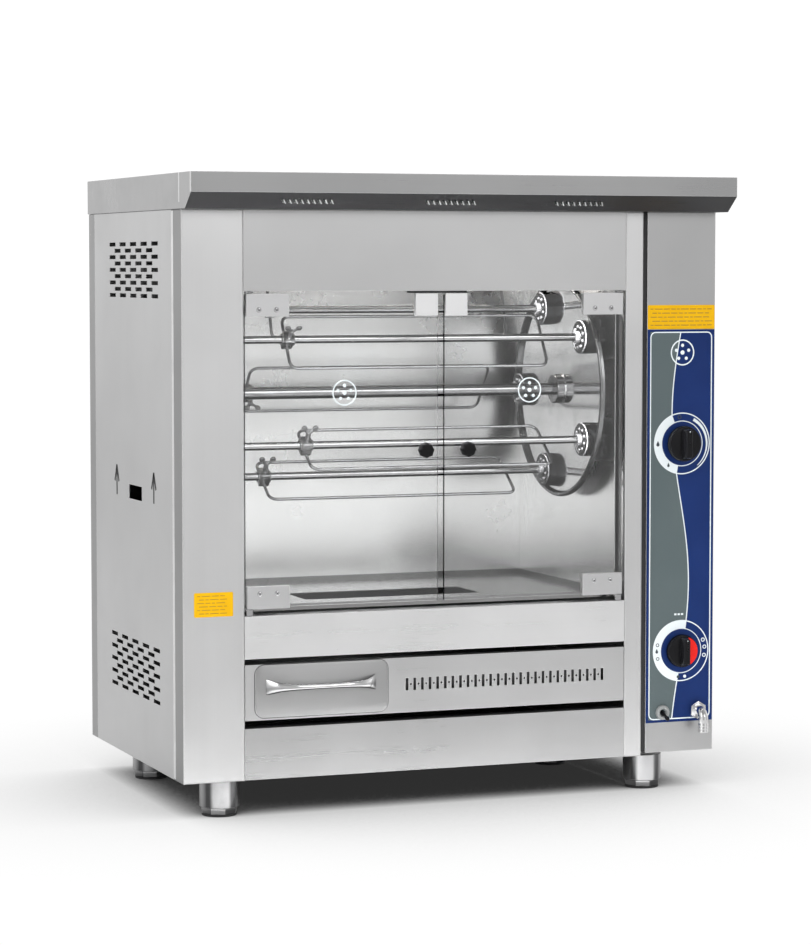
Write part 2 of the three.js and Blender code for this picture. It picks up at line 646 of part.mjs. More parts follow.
const functionSwitch = subgroup(cabinet, gasKnobX, 0, switchZ);
add(functionSwitch, 'rotary_switch', cut(join(
  block(-21, 21, 6, 48, -21, 21), bar([0, 7, 0], [0, -2, 0], 8.6, 14)),
bar([0, -6, 0], [0, 30, 0], 4.3, 14)), 'greyEnamel');
add(functionSwitch, 'switch_knob', join(
  knob(27, -4, -28), bar([0, -5, 0], [0, 20, 0], 4, 14)), 'blackPlastic');

const toggle = subgroup(cabinet, toggleX, 0, toggleZ);
const toggleLean = 20 * degrees;
add(toggle, 'toggle_switch', cut(join(
  bar([0, -1.9, 0], [0, -7, 0], 12, 20, 11), bar([0, -2.5, 0], [0, 30, 0], 8.6, 14)),
bar([0, -10, 0], [0, 6, 0], 6, 14)), 'greyEnamel');
const lever = add(toggle, 'toggle_lever', join(
  new THREE.SphereGeometry(4.2, 10, 6), bar([0, 0, 0], [0, -26, 0], 2.2, 10, 3.8)), 'blackPlastic');
lever.rotation.x = toggleLean;

const hexagon = (radius) => outline(Array.from({ length: 6 }, (_, i) => [
  radius * Math.cos(i * Math.PI / 3), radius * Math.sin(i * Math.PI / 3)]));
const inlet = subgroup(cabinet, inletX, 0, inletZ);
add(inlet, 'gas_inlet_elbow', join(
  cut(frontal(hexagon(15), -1.9, 9), bar([0, 5, 0], [0, -20, 0], 7, 12)),
  bent([[0, 20, 0], [0, -27, 0], [0, -27, -34]], 8.2, 15, 8, 5.2, 5)), 'chrome');

// ---- legs: a sleeve, an eight-sided adjusting foot and its pad ----
const legPlaces = {
  leg_front_left: [68, 35], leg_front_right: [790, 35],
  leg_rear_left: [66, 404], leg_rear_right: [742, 300],
};
for (const [name, [x, y]] of Object.entries(legPlaces)) {
  const leg = subgroup(cabinet, x, y, 0);
  add(leg, name, join(
    bar([0, 0, -42], [0, 0, -0.3], 31, 20),
    bar([0, 0, -54], [0, 0, -41.5], 29.5, 8),
    bar([0, 0, -legHeight], [0, 0, -53.5], 27, 16)), 'chrome');
}

export default oven;
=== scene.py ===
import math
import bmesh
import bpy
from mathutils import Matrix, Vector


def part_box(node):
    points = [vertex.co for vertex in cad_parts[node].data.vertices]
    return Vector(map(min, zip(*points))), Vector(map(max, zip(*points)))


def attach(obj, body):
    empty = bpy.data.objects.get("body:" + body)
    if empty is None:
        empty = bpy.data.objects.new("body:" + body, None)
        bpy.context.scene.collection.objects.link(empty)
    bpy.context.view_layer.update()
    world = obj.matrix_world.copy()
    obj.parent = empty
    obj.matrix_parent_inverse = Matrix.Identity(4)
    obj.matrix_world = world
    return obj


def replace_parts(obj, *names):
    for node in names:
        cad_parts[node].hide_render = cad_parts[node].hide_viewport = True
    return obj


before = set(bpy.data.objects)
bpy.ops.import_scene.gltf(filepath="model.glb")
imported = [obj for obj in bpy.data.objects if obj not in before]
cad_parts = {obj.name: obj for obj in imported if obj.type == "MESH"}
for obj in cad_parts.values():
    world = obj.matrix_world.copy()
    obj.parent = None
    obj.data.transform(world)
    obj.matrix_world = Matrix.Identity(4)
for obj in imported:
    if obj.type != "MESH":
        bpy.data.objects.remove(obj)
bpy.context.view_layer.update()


# ---- camera and studio ----
# A portrait lens at chest height, to the left of the doors, and a white room with soft lamps. The floor is
# a pale sheet that runs out past the view.
camera_data = bpy.data.cameras.new("camera")
camera_data.lens = 115.05
camera = bpy.data.objects.new("camera", camera_data)
camera.location = (-1.7729, -4.6308, 0.8456)
camera.rotation_euler = (math.radians(86.113), 0, math.radians(-20.961))
bpy.context.scene.collection.objects.link(camera)
bpy.context.scene.camera = camera
bpy.context.scene.view_settings.view_transform = "Standard"


def connect(tree, socket, value):
    """Links an output to the socket, or sets the socket to a plain value."""
    if isinstance(value, bpy.types.NodeSocket):
        tree.links.new(value, socket)
    else:
        socket.default_value = value


def add_node(tree, kind, **inputs):
    """Adds a shader node. Each named input is a value or another node's output."""
    made = tree.nodes.new("ShaderNode" + kind)
    for name, value in inputs.items():
        connect(tree, made.inputs[name.replace("_", " ")], value)
    return made


def maths(tree, operation, first, second=0.0, clamp=False):
    """The result of a Math node on two values or outputs."""
    made = tree.nodes.new("ShaderNodeMath")
    made.operation = operation
    made.use_clamp = clamp
    connect(tree, made.inputs[0], first)
    connect(tree, made.inputs[1], second)
    return made.outputs[0]


def spread(tree, value, low, high, to_low, to_high):
    """Maps a value from one range to another, held at the ends."""
    made = add_node(tree, "MapRange", Value=value)
    for name, number in (("From Min", low), ("From Max", high), ("To Min", to_low), ("To Max", to_high)):
        connect(tree, made.inputs[name], number)
    return made.outputs["Result"]


def mixed(tree, factor, first, second):
    """A colour between two colours."""
    made = tree.nodes.new("ShaderNodeMix")
    made.data_type = "RGBA"
    connect(tree, made.inputs[0], factor)
    connect(tree, made.inputs[6], first)
    connect(tree, made.inputs[7], second)
    return made.outputs[2]


def new_material(name, metallic=0.0, roughness=0.5):
    """A material with a plain Principled shader."""
    made = bpy.data.materials.new(name)
    made.use_nodes = True
    shader = made.node_tree.nodes["Principled BSDF"]
    shader.inputs["Metallic"].default_value = metallic
    shader.inputs["Roughness"].default_value = roughness
    return made, made.node_tree, shader


# What mirrors in the steel: a bright band at eye level with soft boxes in it, and a dimmer ceiling.
# Everything else, and the view itself, sees plain white.
world = bpy.data.worlds.new("white_room")
world.use_nodes = True
world.cycles.sampling_method = "NONE"
bpy.context.scene.world = world
room = world.node_tree
heading = add_node(room, "SeparateXYZ", Vector=add_node(room, "TexCoord").outputs["Generated"])
azimuth = maths(room, "ARCTAN2", heading.outputs["X"], maths(room, "MULTIPLY", heading.outputs["Y"], -1.0))


def wall_panel(centre, half, soft, gain):
    """A soft-edged bright stretch of wall, in degrees round from the front towards the right."""
    away = maths(room, "ABSOLUTE", maths(room, "SUBTRACT", azimuth, math.radians(centre)))
    return spread(room, away, math.radians(half), math.radians(half + soft), gain, 0.0)


mirrored = maths(room, "ADD", wall_panel(24, 5, 16, 0.50), wall_panel(-62, 12, 18, 0.55))
mirrored = maths(room, "ADD", mirrored, wall_panel(95, 18, 20, 0.45))
mirrored = maths(room, "ADD", mirrored, spread(room, heading.outputs["Y"], 0.3, 0.9, 0.0, 0.36))
mirrored = maths(room, "ADD", mirrored, 0.50)
mirrored = maths(room, "MULTIPLY", mirrored, spread(room, heading.outputs["Z"], 0.2, 0.85, 1.0, 0.55))
mirror_ray = add_node(room, "LightPath").outputs["Is Glossy Ray"]
plain_white = 1.05
dimming = maths(room, "MULTIPLY", mirror_ray, maths(room, "SUBTRACT", mirrored, plain_white))
connect(room, room.nodes["Background"].inputs["Strength"], maths(room, "ADD", dimming, plain_white))
room.nodes["Background"].inputs["Color"].default_value = (1, 1, 1, 1)


def soft_lamp(name, place, target, width, tall, watts):
    """A rectangular soft box that points at a target."""
    data = bpy.data.lights.new(name, "AREA")
    data.shape = "RECTANGLE"
    data.size = width
    data.size_y = tall
    data.energy = watts
    lamp = bpy.data.objects.new(name, data)
    lamp.location = place
    lamp.rotation_euler = (Vector(target) - Vector(place)).to_track_quat("-Z", "Y").to_euler()
    bpy.context.scene.collection.objects.link(lamp)
    return lamp


oven_middle = (0, 0, 0.5)
soft_lamp("key_lamp", (-3.4, -2.2, 2.6), oven_middle, 2.2, 2.2, 22)
soft_lamp("front_lamp", (1.4, -4.2, 2.4), oven_middle, 2.4, 1.6, 16)
soft_lamp("top_lamp", (0, 0.4, 3.4), oven_middle, 2.5, 2.0, 16)
soft_lamp("back_lamp", (1.5, 3.6, 2.4), oven_middle, 2.4, 1.6, 16)

floor_mesh = bmesh.new()
bmesh.ops.create_circle(floor_mesh, cap_ends=True, segments=96, radius=30)
floor_data = bpy.data.meshes.new("studio_floor")
floor_mesh.to_mesh(floor_data)
floor_mesh.free()
floor = bpy.data.objects.new("studio_floor", floor_data)
bpy.context.scene.collection.objects.link(floor)
floor_paint, floor_tree, floor_shader = new_material("floor_paint", roughness=0.9)
# seen directly, the floor is shaded only by what shelters it: a painted shadow, an ambient-occlusion shade
# given as emission and not cast by the lamps; in reflections it is a plain grey-white, darker than seen
# directly, a painted shade
floor_rays = add_node(floor_tree, "LightPath")
mottle = add_node(floor_tree, "TexNoise", Scale=0.8)
mottle_tone = mixed(floor_tree, mottle.outputs["Fac"], (0.99, 0.99, 0.99, 1), (1.0, 1.0, 1.0, 1))
nearness = add_node(floor_tree, "AmbientOcclusion", Distance=0.9)
shelter = spread(floor_tree, nearness.outputs["AO"], 0.12, 0.98, 1.0, 0.0)
shaded = maths(floor_tree, "MULTIPLY", maths(floor_tree, "POWER", shelter, 1.5), 0.985)
shaded_tone = mixed(floor_tree, shaded, mottle_tone, (0.012, 0.012, 0.012, 1))
seen = maths(floor_tree, "MAXIMUM", floor_rays.outputs["Is Camera Ray"],
             floor_rays.outputs["Is Transmission Ray"])
lit_tone = mixed(floor_tree, floor_rays.outputs["Is Glossy Ray"], (0.95, 0.95, 0.95, 1),
                 (0.60, 0.60, 0.60, 1))
connect(floor_tree, floor_shader.inputs["Base Color"], mixed(floor_tree, seen, lit_tone, (0, 0, 0, 1)))
connect(floor_tree, floor_shader.inputs["Emission Color"],
        mixed(floor_tree, seen, (0, 0, 0, 1), shaded_tone))
floor_shader.inputs["Emission Strength"].default_value = 1.02
floor_shader.inputs["Specular IOR Level"].default_value = 0.0
floor_data.materials.append(floor_paint)


# ---- folded sheet cabinet ----
# The columns, side wall, rear panel, side cover and control box are 1.5 mm stainless sheet, ground with a
# belt so that the grain stands upright, folded, and held together by screws at the back.
mm = 0.001


def group_of(name, inputs, outputs):
    """An empty shader node group with named sockets, and its input and output nodes."""
    group = bpy.data.node_groups.new(name, "ShaderNodeTree")
    for title, kind, value in inputs:
        socket = group.interface.new_socket(title, in_out="INPUT", socket_type="NodeSocket" + kind)
        socket.default_value = value
    for title, kind in outputs:
        group.interface.new_socket(title, in_out="OUTPUT", socket_type="NodeSocket" + kind)
    return group, group.nodes.new("NodeGroupInput"), group.nodes.new("NodeGroupOutput")


def build_brushed_grain():
    """Streaks of belt-ground steel, with the slow unevenness that rolling leaves in a sheet."""
    group, given, gives = group_of(
        "brushed_grain",
        [("Stretch", "Vector", (900, 900, 8)), ("Metal", "Color", (0.57, 0.57, 0.575, 1)),
         ("Roughness", "Float", 0.34), ("Streaks", "Float", 0.08)],
        [("Colour", "Color"), ("Roughness", "Float"), ("Height", "Float")])
    where = add_node(group, "TexCoord").outputs["Object"]
    stretched = group.nodes.new("ShaderNodeVectorMath")
    stretched.operation = "MULTIPLY"
    connect(group, stretched.inputs[0], where)
    connect(group, stretched.inputs[1], given.outputs["Stretch"])
    fine = add_node(group, "TexNoise", Vector=stretched.outputs[0], Scale=1.0, Detail=5.0, Roughness=0.65)
    wide = group.nodes.new("ShaderNodeVectorMath")
    wide.operation = "SCALE"
    connect(group, wide.inputs[0], stretched.outputs[0])
    wide.inputs["Scale"].default_value = 0.09
    bands = add_node(group, "TexNoise", Vector=wide.outputs[0], Scale=1.0, Detail=3.0)
    rolled = add_node(group, "TexNoise", Vector=where, Scale=4.0, Detail=3.0)
    streak = maths(group, "ADD", maths(group, "MULTIPLY", fine.outputs["Fac"], 0.55),
                   maths(group, "MULTIPLY", bands.outputs["Fac"], 0.45))
    centred = maths(group, "SUBTRACT", streak, 0.5)
    sway = maths(group, "MULTIPLY", maths(group, "SUBTRACT", rolled.outputs["Fac"], 0.5), 0.30)
    tone = maths(group, "ADD", maths(group, "MULTIPLY", centred, given.outputs["Streaks"]), sway)
    factor = maths(group, "ADD", tone, 1.0)
    shade = group.nodes.new("ShaderNodeVectorMath")
    shade.operation = "SCALE"
    connect(group, shade.inputs[0], given.outputs["Metal"])
    connect(group, shade.inputs["Scale"], factor)
    rough = maths(group, "ADD", given.outputs["Roughness"], maths(group, "MULTIPLY", centred, 0.25))
    rough = maths(group, "ADD", rough, maths(group, "MULTIPLY", sway, 0.35), clamp=True)
    connect(group, gives.inputs["Colour"], shade.outputs[0])
    connect(group, gives.inputs["Roughness"], rough)
    connect(group, gives.inputs["Height"], streak)
    return group


def build_rounded_edges():
    """The eased edge of folded or machined metal: a normal that turns over the edge, and a mask of it."""
    group, given, gives = group_of(
        "rounded_edges", [("Radius", "Float", 0.001)], [("Normal", "Vector"), ("Edge", "Float")])
    eased = add_node(group, "Bevel", Radius=given.outputs["Radius"])
    eased.samples = 4
    flat = add_node(group, "NewGeometry")
    alike = group.nodes.new("ShaderNodeVectorMath")
    alike.operation = "DOT_PRODUCT"
    connect(group, alike.inputs[0], eased.outputs["Normal"])
    connect(group, alike.inputs[1], flat.outputs["Normal"])
    edge = spread(group, alike.outputs["Value"], 1.0, 0.85, 0.0, 1.0)
    connect(group, gives.inputs["Normal"], eased.outputs["Normal"])
    connect(group, gives.inputs["Edge"], edge)
    return group


def build_handling_marks():
    """Faint wiped patches and finger smears: a mask from 0 to 1."""
    group, given, gives = group_of("handling_marks", [("Size", "Float", 14.0)], [("Mask", "Float")])
    where = add_node(group, "TexCoord").outputs["Object"]
    patches = add_node(group, "TexNoise", Vector=where, Scale=given.outputs["Size"], Detail=4.0,
                       Distortion=0.6)
    connect(group, gives.inputs["Mask"], spread(group, patches.outputs["Fac"], 0.48, 0.72, 0.0, 1.0))
    return group


def facing_of(tree):
    """The direction that a surface faces, as separate x, y and z."""
    return add_node(tree, "SeparateXYZ", Vector=add_node(tree, "NewGeometry").outputs["Normal"])


def build_settled_dust():
    """Dust that lies on what faces up: a mask from 0 to 1."""
    group, given, gives = group_of("settled_dust", [("Amount", "Float", 0.3)], [("Mask", "Float")])
    facing = facing_of(group)
    where = add_node(group, "TexCoord").outputs["Object"]
    specks = add_node(group, "TexNoise", Vector=where, Scale=60.0, Detail=6.0)
    lying = maths(group, "MULTIPLY", spread(group, facing.outputs["Z"], 0.6, 1.0, 0.0, 1.0),
                  spread(group, specks.outputs["Fac"], 0.4, 0.7, 0.2, 1.0))
    connect(group, gives.inputs["Mask"], maths(group, "MULTIPLY", lying, given.outputs["Amount"]))
    return group


def build_horizon_shade():
    """Painted shade and painted reflection bands on round bright metal, by the way it faces: a mask of its
    dark bands.
    """
    group, given, gives = group_of("horizon_shade", [("Amount", "Float", 0.7)], [("Mask", "Float")])
    facing = facing_of(group)
    under = spread(group, facing.outputs["Z"], -0.25, -0.55, 0.0, 1.0)
    line = maths(group, "ABSOLUTE", maths(group, "SUBTRACT", facing.outputs["Z"], -0.08))
    band = spread(group, line, 0.04, 0.2, 0.55, 0.0)
    over = spread(group, facing.outputs["Z"], 0.68, 0.9, 0.0, 0.8)
    both = maths(group, "MAXIMUM", maths(group, "MAXIMUM", under, band), over)
    connect(group, gives.inputs["Mask"], maths(group, "MULTIPLY", both, given.outputs["Amount"]))
    return group


brushed_grain = build_brushed_grain()
rounded_edges = build_rounded_edges()
handling_marks = build_handling_marks()
settled_dust = build_settled_dust()
horizon_shade = build_horizon_shade()


def placed(tree, group, **inputs):
    """Puts a node group in a material, with its own values."""
    made = add_node(tree, "Group")
    made.node_tree = group
    for name, value in inputs.items():
        connect(tree, made.inputs[name], value)
    return made


def brushed_steel(name, stretch, metal, roughness, streaks=0.08, edge_light=1.0, fold=1.6 * mm):
    """Belt-ground sheet with eased edges that carry a painted highlight, wiped patches and a little dust on
    top.
    """
    made, tree, shader = new_material(name, metallic=1.0)
    grain = placed(tree, brushed_grain, Stretch=stretch, Metal=(*metal, 1), Roughness=roughness,
                   Streaks=streaks)
    edges = placed(tree, rounded_edges, Radius=fold)
    marks = placed(tree, handling_marks, Size=11.0)
    dust = placed(tree, settled_dust, Amount=0.1)
    # painted highlight: the eased edges are lightened towards edge_light
    edge_highlighted = mixed(tree, edges.outputs["Edge"], grain.outputs["Colour"],
                 (edge_light, edge_light, edge_light, 1))
    colour = mixed(tree, dust.outputs["Mask"], edge_highlighted, (0.45, 0.44, 0.42, 1))
    connect(tree, shader.inputs["Base Color"], colour)
    smeared = maths(tree, "ADD", grain.outputs["Roughness"],
                    maths(tree, "MULTIPLY", marks.outputs["Mask"], 0.045))
    dusty = maths(tree, "ADD", smeared, maths(tree, "MULTIPLY", dust.outputs["Mask"], 0.5), clamp=True)
    connect(tree, shader.inputs["Roughness"], dusty)
    bump = add_node(tree, "Bump", Strength=0.12, Distance=0.00012, Height=grain.outputs["Height"],
                    Normal=edges.outputs["Normal"])
    connect(tree, shader.inputs["Normal"], bump.outputs["Normal"])
    return made


def dress(material, *names):
    """Gives CAD nodes their finish."""
    for name in names:
        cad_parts[name].material_slots[0].material = material


upright_grain = (700, 700, 7)
level_grain = (7, 700, 700)
# all of these are the same stainless sheet: each part's base tone is set lighter or darker as painted light
# and shade, the control box darker as if in the hood's shade and the inner parts darkest
upright_sheet = brushed_steel("upright_stainless_sheet", upright_grain, (0.69, 0.69, 0.692), 0.33,
                              fold=4 * mm)
side_sheet = brushed_steel("side_stainless_sheet", upright_grain, (0.66, 0.66, 0.662), 0.33)
box_sheet = brushed_steel("control_box_sheet", upright_grain, (0.47, 0.47, 0.472), 0.35)
inner_sheet = brushed_steel("inner_stainless_sheet", level_grain, (0.14, 0.14, 0.142), 0.42)
rear_sheet = brushed_steel("rear_stainless_sheet", upright_grain, (0.42, 0.42, 0.422), 0.36)
dress(upright_sheet, "left_column", "right_side_wall")
dress(side_sheet, "side_cover")
dress(rear_sheet, "rear_panel")


def colour_so_far(made):
    """A finished material's tree, its shader, and the colour that reaches the shader."""
    shader = made.node_tree.nodes["Principled BSDF"]
    return made.node_tree, shader, shader.inputs["Base Color"].links[0].from_socket


column_tree, column_shader, column_tone = colour_so_far(upright_sheet)
column_facing = facing_of(column_tree)
# painted shade: faces that look left, the column's side flange, are darkened
painted_flange_shade = spread(column_tree, column_facing.outputs["X"], -0.5, -0.9, 0.0, 0.8)
connect(column_tree, column_shader.inputs["Base Color"],
        mixed(column_tree, painted_flange_shade, column_tone, (0.28, 0.28, 0.282, 1)))
dress(box_sheet, "control_box")
dress(inner_sheet, "base_pan", "drawer_runners", "drip_tray")


def spin_profile(bm, profile, centre, along, steps=32):
    """Spins (radius, distance) points round an axis into a closed skin."""
    along = Vector(along)
    side = along.orthogonal().normalized()
    verts = [bm.verts.new(Vector(centre) + side * radius + along * reach) for radius, reach in profile]
    edges = [bm.edges.new(pair) for pair in zip(verts, verts[1:])]
    bmesh.ops.spin(bm, geom=verts + edges, cent=centre, axis=along, angle=2 * math.pi, steps=steps,
                   use_merge=True)


def make_piece(name, bm, body, *materials, slot=None, sharp=32):
    """Finishes a mesh: one skin, faces outwards, smooth but for its sharp edges, riding on a body."""
    bmesh.ops.remove_doubles(bm, verts=bm.verts, dist=0.000002)
    bmesh.ops.recalc_face_normals(bm, faces=bm.faces)
    mesh = bpy.data.meshes.new(name)
    bm.to_mesh(mesh)
    bm.free()
    mesh.shade_smooth()
    mesh.set_sharp_from_angle(angle=math.radians(sharp))
    for material in materials:
        mesh.materials.append(material)
    made = bpy.data.objects.new(name, mesh)
    bpy.context.scene.collection.objects.link(made)
    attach(made, body)
    return made


def bright_metal(name, metal, roughness, smear=0.06, easing=0.0, under=0.0):
    """Plated or polished metal: nearly even in colour, with faint smears, and a painted shade on its
    underside with painted dark reflection bands.
    """
    made, tree, shader = new_material(name, metallic=1.0)
    marks = placed(tree, handling_marks, Size=26.0)
    darker = tuple(0.86 * part for part in metal)
    tone = mixed(tree, marks.outputs["Mask"], (*metal, 1), (*darker, 1))
    shade = placed(tree, horizon_shade, Amount=under)
    connect(tree, shader.inputs["Base Color"],
            mixed(tree, shade.outputs["Mask"], tone, (0.02, 0.02, 0.021, 1)))
    connect(tree, shader.inputs["Roughness"],
            maths(tree, "ADD", maths(tree, "MULTIPLY", marks.outputs["Mask"], smear), roughness))
    if easing:
        edges = placed(tree, rounded_edges, Radius=easing)
        connect(tree, shader.inputs["Normal"], edges.outputs["Normal"])
    return made


def moulded_plastic(name, colour, roughness, speckle=0.12):
    """Moulded plastic with a fine spark-eroded texture."""
    made, tree, shader = new_material(name)
    where = add_node(tree, "TexCoord").outputs["Object"]
    cells = add_node(tree, "TexNoise", Vector=where, Scale=1800.0, Detail=3.0)
    lighter = tuple(min(1.0, part * 1.35 + 0.004) for part in colour)
    connect(tree, shader.inputs["Base Color"],
            mixed(tree, cells.outputs["Fac"], (*colour, 1), (*lighter, 1)))
    connect(tree, shader.inputs["Roughness"], spread(tree, cells.outputs["Fac"], 0.3, 0.7, roughness - 0.05,
                                                      roughness + 0.07))
    edges = placed(tree, rounded_edges, Radius=0.6 * mm)
    bump = add_node(tree, "Bump", Strength=speckle, Distance=0.0001, Height=cells.outputs["Fac"],
                    Normal=edges.outputs["Normal"])
    connect(tree, shader.inputs["Normal"], bump.outputs["Normal"])
    return made


screw_steel = bright_metal("screw_steel", (0.62, 0.62, 0.63), 0.22)
# a black finish: real black plastic on some pieces, and painted shade in screw recesses, joints and slots on
# others
black_plastic_and_painted_shade = moulded_plastic("black_plastic_and_painted_shade", (0.012, 0.012, 0.013), 0.6)


def pan_screw(bm, place, outward, radius=4 * mm):
    """A pan-head screw whose cross recess is a black cross, a painted shade, which takes the piece's second
    material.
    """
    outward = Vector(outward)
    head = [(0, 0.5 * radius), (0.55 * radius, 0.46 * radius), (0.88 * radius, 0.3 * radius),
            (radius, 0.08 * radius), (radius, -0.05 * radius)]
    spin_profile(bm, head, place, outward, steps=14)
    turn = outward.to_track_quat("Z", "Y").to_matrix().to_4x4()
    for quarter in (0, 90):
        arm = bmesh.ops.create_cube(bm, size=1)["verts"]
        bmesh.ops.scale(bm, vec=(1.05 * radius, 0.2 * radius, 0.5 * radius), verts=arm)
        bmesh.ops.rotate(bm, matrix=Matrix.Rotation(math.radians(45 + quarter), 3, "Z"), verts=arm)
        bmesh.ops.translate(bm, vec=(0, 0, 0.26 * radius), verts=arm)
        bmesh.ops.transform(bm, matrix=Matrix.Translation(place) @ turn, verts=arm)
        for face in {face for vert in arm for face in vert.link_faces}:
            face.material_index = 1


back_low, back_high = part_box("rear_panel")
rear_screws = bmesh.new()
for across in (0.03, 0.35, 0.65, 0.97):
    for up in (0.025, 0.5, 0.975):
        x = back_low.x + across * (back_high.x - back_low.x)
        z = back_low.z + up * (back_high.z - back_low.z)
        pan_screw(rear_screws, (x, back_high.y, z), (0, 1, 0))
make_piece("rear_panel_screws", rear_screws, "cabinet", screw_steel, black_plastic_and_painted_shade)

box_low, box_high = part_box("control_box")
box_screws = bmesh.new()
for y in (box_low.y + 22 * mm, box_high.y - 22 * mm):
    for up in (0.03, 0.5, 0.97):
        pan_screw(box_screws, (box_high.x, y, box_low.z + up * (box_high.z - box_low.z)), (1, 0, 0))
make_piece("control_box_screws", box_screws, "cabinet", screw_steel, black_plastic_and_painted_shade)


# ---- lifting arrows on the side cover ----
# Two arrows beside the finger hole, etched into the cover, show which way it lifts off.
ink_black = moulded_plastic("etched_mark", (0.012, 0.012, 0.013), 0.6)
cover_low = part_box("side_cover")[0]
hole_middle = Vector((cover_low.x, cover_low.y + 207 * mm, cover_low.z + 430 * mm))


def raise_faces(bm, faces, rise):
    """Extrudes faces, and moves what is new by rise."""
    grown = bmesh.ops.extrude_face_region(bm, geom=faces)["geom"]
    verts = [part for part in grown if isinstance(part, bmesh.types.BMVert)]
    bmesh.ops.translate(bm, vec=rise, verts=verts)


def flat_bar(bm, first, last, width, thick):
    """A thin straight bar between two points, lying on a surface that faces along thick."""
    first, last, thick = Vector(first), Vector(last), Vector(thick)
    side = (last - first).cross(thick).normalized() * width / 2
    base = [bm.verts.new(point) for point in (first - side, first + side, last + side, last - side)]
    face = bm.faces.new(base)
    raise_faces(bm, [face], thick)


arrows = bmesh.new()
for reach in (-105.5 * mm, 109 * mm):
    foot = Vector((cover_low.x, hole_middle.y + reach, cover_low.z + 420 * mm))
    tip = foot + Vector((0, 0, 48 * mm))
    out = (-0.2 * mm, 0, 0)
    flat_bar(arrows, foot, tip, 5.5 * mm, out)
    for way in (-1, 1):
        flat_bar(arrows, tip, tip + Vector((0, way * 12 * mm, -26 * mm)), 5.5 * mm, out)
make_piece("cover_arrows", arrows, "side_cover", ink_black)


# ---- hood ----
# The hood is one folded and welded sheet, ground level, with a visor that stands out over the doors. Its
# corner joints are welded; bright strips along them are a painted highlight. Its base tone is set darker
# than the other sheet, its end that faces left is painted lighter and its underside painted dark: painted
# light and shade.
hood_sheet = brushed_steel("hood_stainless_sheet", level_grain, (0.36, 0.36, 0.362), 0.30, streaks=0.14)
hood_tree, hood_shader, ground_colour = colour_so_far(hood_sheet)
hood_facing = facing_of(hood_tree)
# painted shade on faces that look down, and painted light on faces that look left
underside = spread(hood_tree, hood_facing.outputs["Z"], -0.3, -0.6, 0.0, 1.0)
hood_ends = spread(hood_tree, hood_facing.outputs["X"], -0.5, -0.9, 0.0, 0.6)
lit_end_tone = mixed(hood_tree, hood_ends, ground_colour, (0.60, 0.60, 0.602, 1))
connect(hood_tree, hood_shader.inputs["Base Color"],
        mixed(hood_tree, underside, lit_end_tone, (0.075, 0.075, 0.077, 1)))
dress(hood_sheet, "hood")


def bevelled_block(bm, low, high, width, segments=2):
    """A block between two corners with its edges rounded."""
    made = bmesh.ops.create_cube(bm, size=1)["verts"]
    low, high = Vector(low), Vector(high)
    bmesh.ops.scale(bm, vec=high - low, verts=made)
    bmesh.ops.translate(bm, vec=(low + high) / 2, verts=made)
    edges = list({edge for vert in made for edge in vert.link_edges})
    bmesh.ops.bevel(bm, geom=edges, offset=width, affect="EDGES", segments=segments, profile=0.5,
                    material=-1)


# bright strips at the hood's corners and beside the column's fold stand in for light on the edges: painted
# highlights
highlight_metal = bright_metal("painted_highlight_metal", (0.97, 0.97, 0.97), 0.3)
hood_low, hood_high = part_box("hood")
column_low, column_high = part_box("left_column")
highlight_strips = bmesh.new()
visor_edge = hood_high.z - 30.5 * mm
for x, out in ((hood_low.x, -0.25 * mm), (hood_high.x, 0.25 * mm)):
    flat_bar(highlight_strips, (x, column_low.y + 2 * mm, hood_low.z + 10 * mm),
             (x, column_low.y + 2 * mm, hood_high.z), 5 * mm, (out, 0, 0))
    flat_bar(highlight_strips, (x, hood_low.y + 2.5 * mm, visor_edge), (x, hood_low.y + 2.5 * mm, hood_high.z), 4 * mm,
             (out, 0, 0))
# a broader bright strip on the left column's side, beside its fold, is a painted highlight
flat_bar(highlight_strips, (column_low.x, cover_low.y - 6.5 * mm, column_low.z + 2 * mm),
         (column_low.x, cover_low.y - 6.5 * mm, column_high.z - 2 * mm), 10 * mm, (-0.25 * mm, 0, 0))
make_piece("painted_highlight_strips", highlight_strips, "cabinet", highlight_metal, slot="polished_steel")

# each visor slot has a pressed lip, drawn as a thin bright strip: a painted highlight
lips = bmesh.new()
visor_run, visor_drop = 31.5, 24.2
slope = Vector((0, visor_run, -visor_drop)).normalized()
down = Vector((0, -visor_drop, -visor_run)).normalized()
for start in (143, 377, 594):
    for slot in range(9):
        foot = Vector((column_low.x + (start + 9.6 * slot + 4.8) * mm, hood_low.y + 12 * mm,
                       visor_edge - 1 * mm - 12 * mm * visor_drop / visor_run))
        flat_bar(lips, foot, foot + Vector((5.6 * mm, 0, 0)) + 9.6 * mm * slope, 1.7 * mm, 0.4 * mm * down)
make_piece("visor_slot_lips", lips, "cabinet", highlight_metal, slot="polished_steel")

# a black plate lies inside the visor, over the three rows of slots, so that they look dark: a painted shade
slot_shade_plates = bmesh.new()
for start in (143, 377, 594):
    bevelled_block(slot_shade_plates, (column_low.x + (start - 8) * mm, hood_low.y + 10 * mm, hood_low.z + 24 * mm),
                   (column_low.x + (start + 96) * mm, hood_low.y + 30 * mm, hood_low.z + 25 * mm), 0.2 * mm,
                   1)
make_piece("visor_slot_shade_plates", slot_shade_plates, "cabinet", black_plastic_and_painted_shade)


